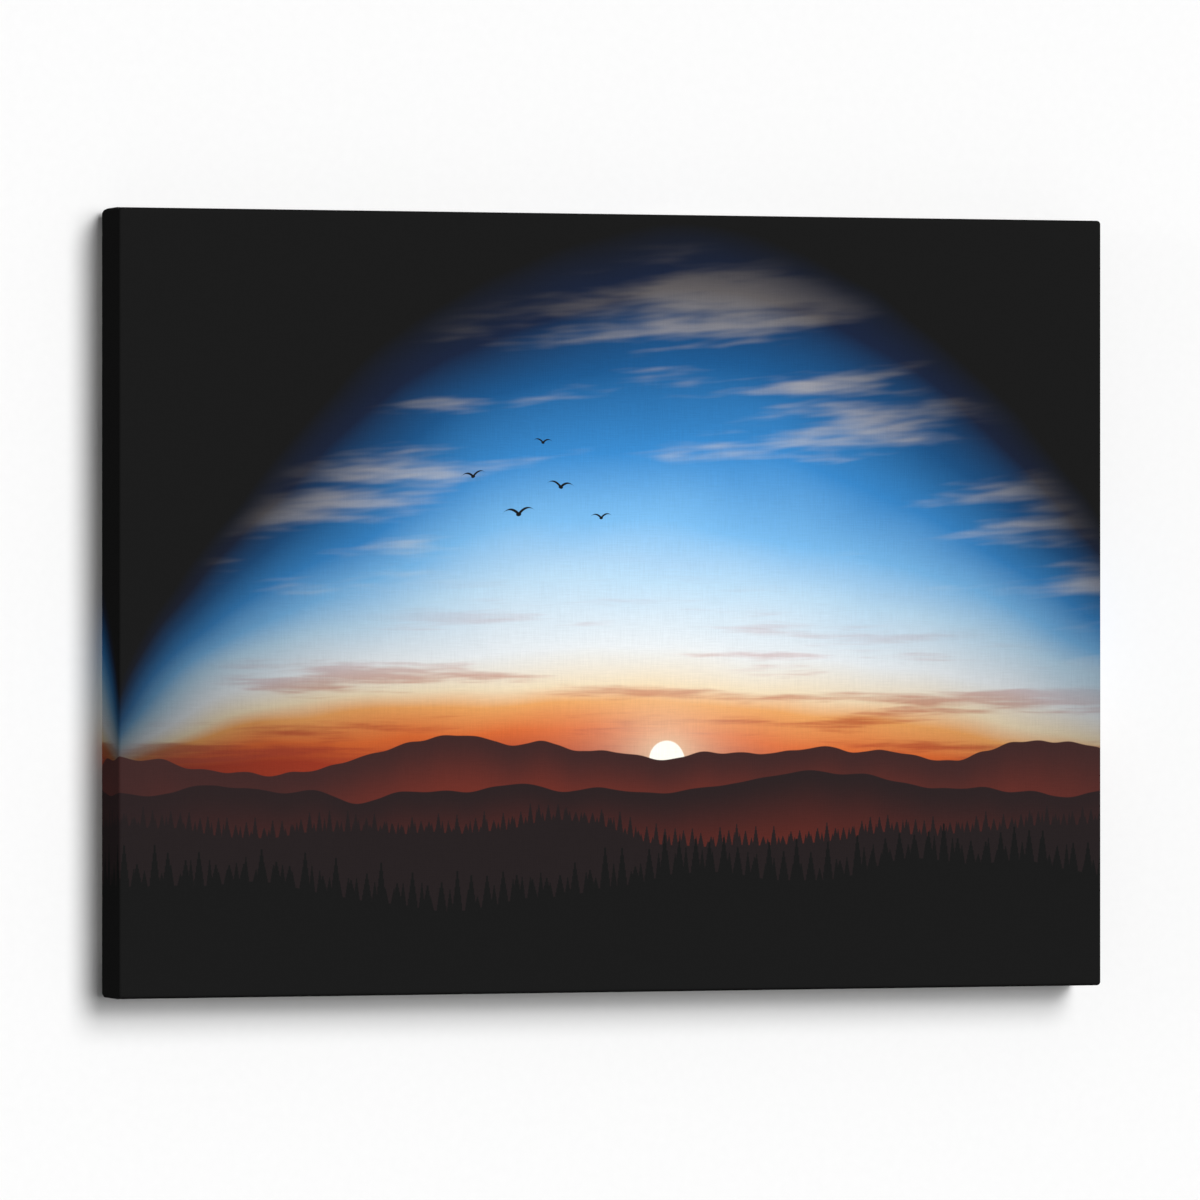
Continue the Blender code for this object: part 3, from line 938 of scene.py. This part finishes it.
def eased_corners(obj):
    """Cuts a small slanted facet off each rear outer corner, under the sunken cloth."""
    work = bmesh.new()
    work.from_mesh(obj.data)
    along, deep, down = EASED
    for right, up in CORNERS:
        corner = Vector((CENTRE.x + right * WIDTH / 2, HIGH.y, CENTRE.z + up * HEIGHT / 2))
        below = corner - Vector((0, 0, up * down))
        inward = corner - Vector((right * along, 0, 0)) - below
        forward = corner - Vector((0, deep, 0)) - below
        normal = inward.cross(forward).normalized()
        if normal.dot(corner - below) < 0:
            normal.negate()
        cut = bmesh.ops.bisect_plane(
            work,
            geom=work.verts[:] + work.edges[:] + work.faces[:],
            plane_co=below,
            plane_no=normal,
            clear_outer=True,
        )
        edges = [item for item in cut["geom_cut"] if isinstance(item, bmesh.types.BMEdge)]
        if edges:
            bmesh.ops.holes_fill(work, edges=edges)
    work.to_mesh(obj.data)
    work.free()


class CANVAS_OT_cut_bars(bpy.types.Operator):
    """Finish the four stretcher bars in planed pine"""

    bl_idname = "canvas_print.cut_bars"
    bl_label = "Cut bars"

    def execute(self, context):
        timber = context.scene.canvas_timber
        chooser = random.Random(timber.seed)
        for side in SIDES:
            piece = solid_copy(f"bar_{side}", f"timber_{side}")
            eased_corners(piece)
            rounded(piece, timber.edge)
            grain = 0 if side in ("top", "bottom") else 2
            material = pine(f"pine_{side}", timber, grain, chooser.uniform(-3, 3))
            enter(piece, [material], "frame", "pine", f"bar_{side}")
        return {"FINISHED"}


class CANVAS_OT_cut_keys(bpy.types.Operator):
    """Finish the eight wedges that stand in the corner slots"""

    bl_idname = "canvas_print.cut_keys"
    bl_label = "Cut keys"

    def execute(self, context):
        timber = context.scene.canvas_timber
        chooser = random.Random(timber.seed + 1)
        for side in SIDES:
            for number in (1, 2):
                node = f"key_{side}_{number}"
                piece = solid_copy(node, f"wedge_{side}_{number}")
                rounded(piece, timber.edge * 0.7)
                grain = 2 if side in ("top", "bottom") else 0
                start = chooser.uniform(-3, 3)
                material = pine(f"wedge_pine_{side}_{number}", timber, grain, start, figure=0.4)
                enter(piece, [material], "frame", "key_pine", node)
        return {"FINISHED"}


# Hangers, dots and staples


def wire(name, path, radius, closed, sides=6):
    """A round wire along a list of points, as a plain mesh."""
    curve = bpy.data.curves.new(name, "CURVE")
    curve.dimensions = "3D"
    curve.bevel_depth = radius
    curve.bevel_resolution = sides
    curve.use_fill_caps = not closed
    spline = curve.splines.new("POLY")
    spline.points.add(len(path) - 1)
    for point, place in zip(spline.points, path):
        point.co = (*place, 1)
    spline.use_cyclic_u = closed
    made = plain_mesh(link(name + "_path", curve), name)
    work = bmesh.new()
    work.from_mesh(made.data)
    bmesh.ops.remove_doubles(work, verts=work.verts, dist=TOUCH)
    bmesh.ops.recalc_face_normals(work, faces=work.faces)
    work.to_mesh(made.data)
    work.free()
    return made


def turned_mesh(name, profile, steps):
    """A profile of (radius, height), turned about Z into a closed mesh; its two ends lie on the axis."""
    work = bmesh.new()
    turns = [2 * math.pi * i / steps for i in range(steps)]
    tops = [[work.verts.new((0, 0, height))] * steps for _, height in (profile[0], profile[-1])]
    rings = [
        [work.verts.new((radius * math.cos(turn), radius * math.sin(turn), height)) for turn in turns]
        for radius, height in profile[1:-1]
    ]
    rings = [tops[0], *rings, tops[1]]
    for near, far in zip(rings, rings[1:]):
        for i in range(steps):
            work.faces.new(dict.fromkeys((near[i - 1], near[i], far[i], far[i - 1])))
    return bare_mesh(work, name)


def add_prism(work, outline, axes, low, high):
    """Adds a closed prism to the bmesh; axes says which of (u, v, depth) lies along X, Y and Z."""
    near = [work.verts.new([(u, v, low)[i] for i in axes]) for u, v in outline]
    far = [work.verts.new([(u, v, high)[i] for i in axes]) for u, v in outline]
    work.faces.new(near)
    work.faces.new(far)
    for i, vert in enumerate(near):
        work.faces.new((near[i - 1], vert, far[i], far[i - 1]))


EYE_PLAY = 0.00015      # between a ring's bar and its strap's eye
LAYER_GAP = 0.00005     # between a strap's two layers
LAP = 14                # degrees by which the strap's loop runs on behind its front plate
RING_CORNER = 0.0025    # bend of a ring's wire at its foot
HEAD_RISE = 0.0019      # height of a screw's head
HEAD_EDGE = 0.30        # share of it at which the head is widest
NECK = (0.0015, 0.0012)     # radius and length of the plain shank under the head
CORE, CREST = 0.00118, 0.00155      # radii of the thread
THREAD_PITCH = 0.0011
POINT = 0.004           # length of the tip, which has no thread
RECESS = 0.0012         # depth of the cross in the head
CROSS_TURN = {"left": 24, "right": 67}      # degrees by which each screw's cross is turned
DOT_SHAPE = (0.0012, 0.0004, 0.0006)        # a dot's rounded shoulder, the flat beside it and its foot
TOWARD_WALL = Matrix.Rotation(-math.pi / 2, 4, "X")     # turns local +Z to +Y


class CANVAS_OT_fit_hangers(bpy.types.Operator):
    """Make the straps, D-rings and screws on both side bars"""

    bl_idname = "canvas_print.fit_hangers"
    bl_label = "Fit hangers"

    def execute(self, context):
        hardware = context.scene.canvas_hardware
        zinc = plated("zinc_plate", hardware.zinc, 0.34)
        yellow = plated("yellow_zinc_plate", hardware.yellow, 0.36)
        for hand in HANDS:
            self.strap(hand, zinc)
            self.ring(hand, zinc)
            self.screw(hand, yellow)
        return {"FINISHED"}

    def strap(self, hand, material):
        """One strip of steel: a plate behind, a loop over the ring's bar and a plate in front."""
        low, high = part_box(f"hanger_strap_{hand}")
        ring_low, ring_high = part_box(f"d_ring_{hand}")
        wire_radius = (ring_high.y - ring_low.y) / 2
        middle, half = (low.x + high.x) / 2, (high.x - low.x) / 2
        pivot = ((ring_low.y + ring_high.y) / 2, ring_low.z + wire_radius)
        outer = high.y - pivot[0]
        eye = wire_radius + EYE_PLAY
        strip = outer - eye
        back = low.y + strip
        face = back + strip
        end = [(middle + x, z) for x, z in arc((0, low.z + half), half, 180, 360, 32)]
        work = bmesh.new()
        for near, far, top in ((low.y, back, pivot[1]), (back + LAYER_GAP, face, pivot[1] - eye)):
            outline = [*end, (middle + half, top), (middle - half, top)]
            add_prism(work, outline, (0, 2, 1), near, far)
        meet = math.degrees(math.acos((face - pivot[0]) / outer))
        loop = arc(pivot, outer, 180, -meet, 40) + arc(pivot, eye, -meet - LAP, 180, 40)
        add_prism(work, loop, (2, 0, 1), middle - half, middle + half)
        piece = link(f"strap_{hand}", bare_mesh(work, f"strap_{hand}"))
        rounded(piece, 0.00014, 40)
        enter(piece, [material], "frame", "zinc_steel", f"hanger_strap_{hand}")

    def ring(self, hand, material):
        """A D of wire on the same path as the CAD ring, with finer arcs."""
        low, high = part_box(f"d_ring_{hand}")
        radius = (high.y - low.y) / 2
        centre = (low + high) / 2
        side = (high.x - low.x) / 2 - radius
        corner = RING_CORNER
        foot = low.z + radius
        bow = high.z - radius - side
        outline = [
            *arc((-side + corner, foot + corner), corner, 180, 270, 10),
            *arc((side - corner, foot + corner), corner, 270, 360, 10),
            *arc((0, bow), side, 0, 180, 48),
        ]
        path = [(centre.x + u, centre.y, v) for u, v in outline]
        piece = wire(f"hanging_ring_{hand}", path, radius, True)
        enter(piece, [material], f"ring_{hand}", "zinc_steel", f"d_ring_{hand}", angle=60)

    def screw(self, hand, material):
        """A pan head with a cross recess; the thread is cut on the shank."""
        low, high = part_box(f"hanger_screw_{hand}")
        centre = (low + high) / 2
        head, rise = (high.x - low.x) / 2, HEAD_RISE
        dome = [(head * math.sin(t), rise * (0.42 + 0.58 * math.cos(t))) for t in even(0.12, 1.5, 12)]
        neck, turn = NECK
        shank = [(neck, 0.0)]
        depth = high.y - low.y - rise
        while turn < depth - POINT:
            shank += [(CORE, -turn), (CREST, -turn - THREAD_PITCH / 2)]
            turn += THREAD_PITCH
        profile = [(0, rise), *dome, (head, rise * HEAD_EDGE), (head * 0.97, 0.0), *shank, (0, -depth)]
        body = link(f"screw_body_{hand}", turned_mesh(f"screw_{hand}", profile, 48))
        bit = self.driver_bit(rise)
        recess = body.modifiers.new("recess", "BOOLEAN")
        recess.object = bit
        recess.solver = "EXACT"
        piece = plain_mesh(body, f"pan_screw_{hand}")
        bpy.data.objects.remove(bit)
        seat = high.y - rise
        lean = Matrix.Rotation(math.radians(CROSS_TURN[hand]), 4, "Y")
        piece.data.transform(Matrix.Translation((centre.x, seat, centre.z)) @ lean @ TOWARD_WALL)
        enter(piece, [material], "frame", "screw_steel", f"hanger_screw_{hand}", angle=40)

    @staticmethod
    def driver_bit(rise):
        """The point of a cross-head driver: a plus sign that narrows towards its tip."""
        thin, long = 0.00045, 0.0019
        quarter = [(long, -thin), (long, thin), (thin, thin)]
        outline = []
        for turn in range(4):
            spin = Matrix.Rotation(turn * math.pi / 2, 2)
            outline += [tuple(spin @ Vector(corner)) for corner in quarter]
        work = bmesh.new()
        add_prism(work, outline, (0, 1, 2), rise - RECESS, rise + 0.001)
        for vert in work.verts:
            if vert.co.z < rise:
                vert.co.x *= 0.5
                vert.co.y *= 0.5
        return link("driver_bit", bare_mesh(work, "driver_bit"))


class CANVAS_OT_fit_dots(bpy.types.Operator):
    """Make the rubber dots at the lower back corners"""

    bl_idname = "canvas_print.fit_dots"
    bl_label = "Fit wall dots"

    def execute(self, context):
        rubber = soft_rubber(context.scene.canvas_hardware)
        for hand in HANDS:
            low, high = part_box(f"wall_dot_{hand}")
            centre = (low + high) / 2
            radius, height = (high.x - low.x) / 2, high.y - low.y
            soft, flat, foot = DOT_SHAPE
            shoulder = arc((radius - soft, height - soft), soft, 80, 0, 8)
            profile = [(0, height), (radius - soft - flat, height), *shoulder]
            profile += [(radius, foot), (radius - foot / 2, 0.0), (0, 0)]
            mesh = turned_mesh(f"rubber_dot_{hand}", profile, 64)
            mesh.transform(Matrix.Translation((centre.x, low.y, centre.z)) @ TOWARD_WALL)
            piece = link(f"rubber_dot_{hand}", mesh)
            enter(piece, [rubber], "frame", "rubber", f"wall_dot_{hand}")
        return {"FINISHED"}


class Tree(NodeMaker):
    """A Geometry Nodes group with named inputs, given by their kinds of socket."""

    def __init__(self, name, **inputs):
        self.group = bpy.data.node_groups.new(name, "GeometryNodeTree")
        super().__init__(self.group)
        face = self.group.interface
        face.new_socket("Geometry", in_out="OUTPUT", socket_type="NodeSocketGeometry")
        self.keys = {}
        for label, kind in {"Geometry": "Geometry", **inputs}.items():
            socket = face.new_socket(label, in_out="INPUT", socket_type="NodeSocket" + kind)
            self.keys[label] = socket.identifier
        self.given = self.nodes.new("NodeGroupInput").outputs
        self.end = self.nodes.new("NodeGroupOutput")

    def random(self, kind, sockets):
        """A random value for each point."""
        sockets = {"Seed": self.given["Seed"], **sockets}
        return self.node("FunctionNodeRandomValue", {"data_type": kind}, sockets)

    def points(self):
        """Points at even steps along the guide's lines."""
        line = self.node("GeometryNodeMeshToCurve", {}, {0: self.given["Geometry"]})
        sockets = {0: line.outputs[0], "Length": self.given["Pitch"]}
        return self.node("GeometryNodeCurveToPoints", {"mode": "LENGTH"}, sockets)

    def finish(self, points, sockets):
        """Puts an instance on each point and ends the tree in Realize Instances and Set Material."""
        copies = self.node("GeometryNodeInstanceOnPoints", {}, {0: points.outputs[0], **sockets})
        real = self.node("GeometryNodeRealizeInstances", {}, {0: copies.outputs[0]})
        worn = {0: real.outputs[0], "Material": self.given["Material"]}
        self.feed(self.end, {0: self.node("GeometryNodeSetMaterial", {}, worn).outputs[0]})

    def apply(self, guide, name, **values):
        """Runs the tree on a guide mesh and returns the result as a plain mesh object."""
        modifier = guide.modifiers.new(name, "NODES")
        modifier.node_group = self.group
        for label, value in values.items():
            modifier[self.keys[label]] = value
        return plain_mesh(guide, name)


def line_guide(name, lines):
    """A mesh of straight edges for a tree to follow."""
    points = [point for line in lines for point in line]
    mesh = bpy.data.meshes.new(name)
    mesh.from_pydata(points, [(i, i + 1) for i in range(0, len(points), 2)], [])
    return link(name, mesh)


def rail_lines(inset, ends, y, gap=None):
    """Lines on the back along each bar, inset from its edge; gap is a stretch (low, high) of z left out."""
    low, high = LOW.z + inset, HIGH.z - inset
    lines = [((LOW.x + ends, y, z), (HIGH.x - ends, y, z)) for z in (low, high)]
    stops = (LOW.z + ends, *(gap or ()), HIGH.z - ends)
    for x in (LOW.x + inset, HIGH.x - inset):
        lines += [((x, y, stops[i]), (x, y, stops[i + 1])) for i in range(0, len(stops), 2)]
    return lines


def fold_lines(aside, down, y):
    """A short line beside each corner's folded edge, along it, for one staple."""
    lines = []
    for right, up in CORNERS:
        start = Vector((CENTRE.x + right * (WIDTH / 2 - aside), y, CENTRE.z + up * (HEIGHT / 2 - down)))
        lines.append((tuple(start), tuple(start - Vector((right, 0, up)) * 0.0005)))
    return lines


def staple_tree():
    """One staple at even steps along each line, each a little crooked."""
    inputs = {"Pitch": "Float", "Staple": "Object", "Crooked": "Float"}
    tree = Tree("staple_rows", **inputs, Seed="Int", Material="Material")
    given = tree.given
    points = tree.points()
    tangent = points.outputs["Tangent"]
    turn = tree.node("FunctionNodeAlignRotationToVector", {"axis": "X"}, {"Vector": tangent})
    lean = tree.node("ShaderNodeMath", {"operation": "MULTIPLY"}, {0: given["Crooked"], 1: -1.0})
    yaw = tree.random("FLOAT", {2: lean.outputs[0], 3: given["Crooked"]})
    about = tree.node("ShaderNodeCombineXYZ", {}, {1: yaw.outputs[1]})
    askew = tree.node("FunctionNodeEulerToRotation", {}, {0: about.outputs[0]})
    rotate = tree.node("FunctionNodeRotateRotation", {}, {0: askew.outputs[0], 1: turn.outputs[0]})
    staple = tree.node("GeometryNodeObjectInfo", {"transform_space": "ORIGINAL"}, {0: given["Staple"]})
    tree.finish(points, {"Instance": staple.outputs["Geometry"], "Rotation": rotate.outputs[0]})
    return tree


LEG = 0.006             # length of a staple's legs
LEG_BEND = 0.0007       # radius of its corners
PROUD = 0.0002          # how far its wire's middle stands off the cloth
ROW_INSET = 0.019       # from the canvas's edge to a row of staples
ROW_END = 0.055         # from the corner to where a row starts
HANGER_GAP = (0.012, 0.010)     # free of staples below and above a hanger
CORNER_STAPLE = (0.024, 0.018)  # from the side and the end to a corner's own staple
CROOKED = 0.16          # most turn of a staple, in radians


def staple_template(hardware):
    """A staple in its own frame: crown along X, legs towards -Y, lying at y = 0."""
    half, radius, bend = hardware.staple_width / 2, hardware.staple_wire, LEG_BEND
    path = [(-half, -LEG)]
    path += arc((-half + bend, -bend), bend, 180, 90, 4)
    path += arc((half - bend, -bend), bend, 90, 0, 4)
    path.append((half, -LEG))
    return wire("staple_template", [(u, v, 0) for u, v in path], radius, False, 1)


class CANVAS_OT_drive_staples(bpy.types.Operator):
    """Drive a row of staples through each flap"""

    bl_idname = "canvas_print.drive_staples"
    bl_label = "Drive staples"

    def execute(self, context):
        hardware = context.scene.canvas_hardware
        template = staple_template(hardware)
        template.hide_render = True
        below, above = HANGER_GAP
        hung = (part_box("hanger_strap_left")[0].z - below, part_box("d_ring_left")[1].z + above)
        lines = rail_lines(ROW_INSET, ROW_END, HIGH.y + PROUD, hung)
        lines += fold_lines(*CORNER_STAPLE, HIGH.y + PROUD + context.scene.canvas_cloth.fold_rise)
        material = plated("galvanised_wire", hardware.zinc, 0.42)
        piece = staple_tree().apply(
            line_guide("staple_guide", lines),
            "staples",
            Pitch=hardware.staple_pitch,
            Staple=template,
            Crooked=CROOKED,
            Seed=hardware.seed,
            Material=material,
        )
        bpy.data.objects.remove(template)
        enter(piece, [material], "frame", "zinc_steel", angle=50)
        return {"FINISHED"}


def fray_tree():
    """Loose thread ends along a raw edge: short bent curves of random length, turn and tilt."""
    inputs = {"Pitch": "Float", "Reach": "Float", "Thread": "Float", "Share": "Float"}
    tree = Tree("frayed_threads", **inputs, Seed="Int", Material="Material")
    given = tree.given
    points = tree.points()
    chosen = tree.random("BOOLEAN", {"Probability": given["Share"]})
    turn = tree.random("FLOAT_VECTOR", {0: (-0.5, -3.14, -0.5), 1: (0.5, 3.14, 0.5)})
    size = tree.random("FLOAT", {2: 0.4, 3: 1.0})
    bend = tree.node("ShaderNodeMath", {"operation": "MULTIPLY"}, {0: given["Reach"], 1: 0.4})
    middle = tree.node("ShaderNodeCombineXYZ", {}, {0: bend.outputs[0], 1: bend.outputs[0]})
    tip = tree.node("ShaderNodeCombineXYZ", {}, {0: given["Reach"]})
    bent = {"Resolution": 4, "Start": (0, 0, 0), "Middle": middle.outputs[0], "End": tip.outputs[0]}
    thread = tree.node("GeometryNodeCurveQuadraticBezier", {}, bent)
    hoop = tree.node("GeometryNodeCurvePrimitiveCircle", {}, {"Resolution": 4, "Radius": given["Thread"]})
    swept = {0: thread.outputs[0], 1: hoop.outputs[0], "Fill Caps": True}
    tube = tree.node("GeometryNodeCurveToMesh", {}, swept)
    sockets = {"Selection": chosen.outputs[3], "Instance": tube.outputs[0]}
    tree.finish(points, {**sockets, "Rotation": turn.outputs[0], "Scale": size.outputs[1]})
    return tree


class CANVAS_OT_fray_edges(bpy.types.Operator):
    """Pull loose thread ends out of the flaps' raw edges"""

    bl_idname = "canvas_print.fray_edges"
    bl_label = "Fray raw edges"

    def execute(self, context):
        cloth = context.scene.canvas_cloth
        y = HIGH.y - cloth.thickness / 2 + 0.0001
        material = thread_cotton(cloth)
        piece = fray_tree().apply(
            line_guide("fray_guide", rail_lines(cloth.flap, cloth.flap + 0.002, y)),
            "frayed_threads",
            Pitch=0.0016,
            Reach=0.0042,
            Thread=0.00009,
            Share=0.22,
            Seed=11,
            Material=material,
        )
        enter(piece, [material], "frame", "printed_canvas", angle=60)
        return {"FINISHED"}


def thread_cotton(cloth):
    recipe = Recipe("thread_cotton")
    fluff = recipe.noise(recipe.place(), scale=1800.0, detail=2.0)
    return recipe.finish(
        Base_Color=recipe.shade(cloth.primer, fluff * 0.3 + 0.8),
        Roughness=0.9,
        Specular_IOR_Level=0.15,
    )


# The stage

CAMERA_PLACE = (-1.782, -5.259)     # across and out from the canvas centre, from the photo's perspective
CAMERA_TURN = 18.747                # degrees to the right of square on
CAMERA_RISE = 0.0018                # above the canvas centre
SUNS = (        # name, where the light comes from, strength and how wide it looks, in degrees
    ("key_low", (0.225, -1.0, 0.13), 1.46, 26),
    ("key_high", (0.225, -1.0, 0.43), 1.86, 26),
    ("rear", (0.60, 1.0, 0.75), 3.0, 24),
    ("left_rim", (-1.0, -0.03, 0.10), 1.25, 16),
)


def stage_paint(name, shade):
    """Matt paint that only the camera sees, from its front, so it blocks no light and hides no back."""
    recipe = Recipe(name)
    x, y, z = recipe.parts(recipe.place())
    grain = recipe.flat_noise(x * 180.0, (y + z) * 180.0, 1.0)
    recipe.finish(
        Base_Color=recipe.shade(shade, grain * 0.02 + 0.99),
        Roughness=0.95,
        Specular_IOR_Level=0.0,
    )
    seen = Number(recipe, recipe.node("ShaderNodeLightPath", {}, {}).outputs["Is Camera Ray"])
    behind = Number(recipe, recipe.node("ShaderNodeNewGeometry", {}, {}).outputs["Backfacing"])
    clear = recipe.node("ShaderNodeBsdfTransparent", {}, {})
    sockets = {0: seen * (1 - behind), 1: clear.outputs[0], 2: recipe.shader.outputs[0]}
    joined = recipe.node("ShaderNodeMixShader", {}, sockets)
    recipe.feed(recipe.nodes["Material Output"], {"Surface": joined.outputs[0]})
    return recipe.material


def plate(name, corners, material):
    """A flat stage surface."""
    mesh = bpy.data.meshes.new(name)
    mesh.from_pydata(corners, [], [tuple(range(len(corners)))])
    obj = link(name, mesh)
    wear(obj, material)


def sun(name, direction, strength, softness):
    """A far lamp, as a row of SUNS says."""
    light = bpy.data.lights.new(name, "SUN")
    light.energy = strength
    light.angle = math.radians(softness)
    obj = link(name, light)
    obj.rotation_mode = "QUATERNION"
    obj.rotation_quaternion = Vector(direction).to_track_quat("Z", "Y")


def studio_air(stage):
    """Dim light from all round, which the camera sees as pale as the wall."""
    world = bpy.data.worlds.new("studio")
    world.use_nodes = True
    maker = NodeMaker(world.node_tree)
    path = maker.node("ShaderNodeLightPath", {}, {})
    sockets = {0: path.outputs["Is Camera Ray"], 2: stage.air, 3: stage.backdrop}
    strength = maker.node("ShaderNodeMix", {}, sockets).outputs[0]
    maker.feed(maker.nodes["Background"], {"Color": (1.0, 1.0, 1.0), "Strength": strength})
    return world


class CANVAS_OT_set_stage(bpy.types.Operator):
    """Set the wall, the floor, the lights and the camera"""

    bl_idname = "canvas_print.set_stage"
    bl_label = "Set stage"

    def execute(self, context):
        scene = context.scene
        stage = scene.canvas_stage
        half, floor = 9.0, -stage.floor_drop
        wall = [(-half, 0, floor), (half, 0, floor), (half, 0, half), (-half, 0, half)]
        plate("wall", wall, stage_paint("wall_paint", stage.wall))
        ground = [(-half, -half, floor), (half, -half, floor), (half, half, floor), (-half, half, floor)]
        plate("floor", ground, stage_paint("floor_paint", stage.floor))
        for lamp in SUNS:
            sun(*lamp)
        scene.world = studio_air(stage)
        lens = bpy.data.cameras.new("camera")
        lens.lens = stage.lens
        lens.sensor_width = 36.0
        camera = link("camera", lens)
        camera.location = (CENTRE.x + CAMERA_PLACE[0], CAMERA_PLACE[1], CENTRE.z + CAMERA_RISE)
        camera.rotation_euler = (math.pi / 2, 0, -math.radians(CAMERA_TURN))
        lens.clip_end = 100
        scene.camera = camera
        scene.view_settings.view_transform = "Standard"
        return {"FINISHED"}


OPERATORS = (
    CANVAS_OT_cut_bars,
    CANVAS_OT_cut_keys,
    CANVAS_OT_stretch_cloth,
    CANVAS_OT_fit_hangers,
    CANVAS_OT_fit_dots,
    CANVAS_OT_drive_staples,
    CANVAS_OT_fray_edges,
    CANVAS_OT_set_stage,
)
SETTINGS = {
    "canvas_cloth": ClothSettings,
    "canvas_print": PrintSettings,
    "canvas_timber": TimberSettings,
    "canvas_hardware": HardwareSettings,
    "canvas_stage": StageSettings,
}


class CANVAS_PT_panel(bpy.types.Panel):
    """Lists the operators and their settings"""

    bl_label = "Stretched canvas print"
    bl_idname = "CANVAS_PT_panel"
    bl_space_type = "VIEW_3D"
    bl_region_type = "UI"
    bl_category = "Canvas"

    def draw(self, context):
        for operator in OPERATORS:
            self.layout.operator(operator.bl_idname)
        for key, group in SETTINGS.items():
            box = self.layout.box()
            for prop in group.__annotations__:
                box.prop(getattr(context.scene, key), prop)


def register():
    for cls in (*SETTINGS.values(), *OPERATORS, CANVAS_PT_panel):
        bpy.utils.register_class(cls)
    for key, group in SETTINGS.items():
        setattr(bpy.types.Scene, key, PointerProperty(type=group))


def unregister():
    for key in SETTINGS:
        delattr(bpy.types.Scene, key)
    for cls in reversed((*SETTINGS.values(), *OPERATORS, CANVAS_PT_panel)):
        bpy.utils.unregister_class(cls)


def main():
    register()
    for obj in [obj for obj in bpy.data.objects if obj.name in ("Cube", "Light", "Camera")]:
        bpy.data.objects.remove(obj)
    for operator in OPERATORS:
        area, name = operator.bl_idname.split(".")
        getattr(getattr(bpy.ops, area), name)()


if __name__ == "__main__":
    main()
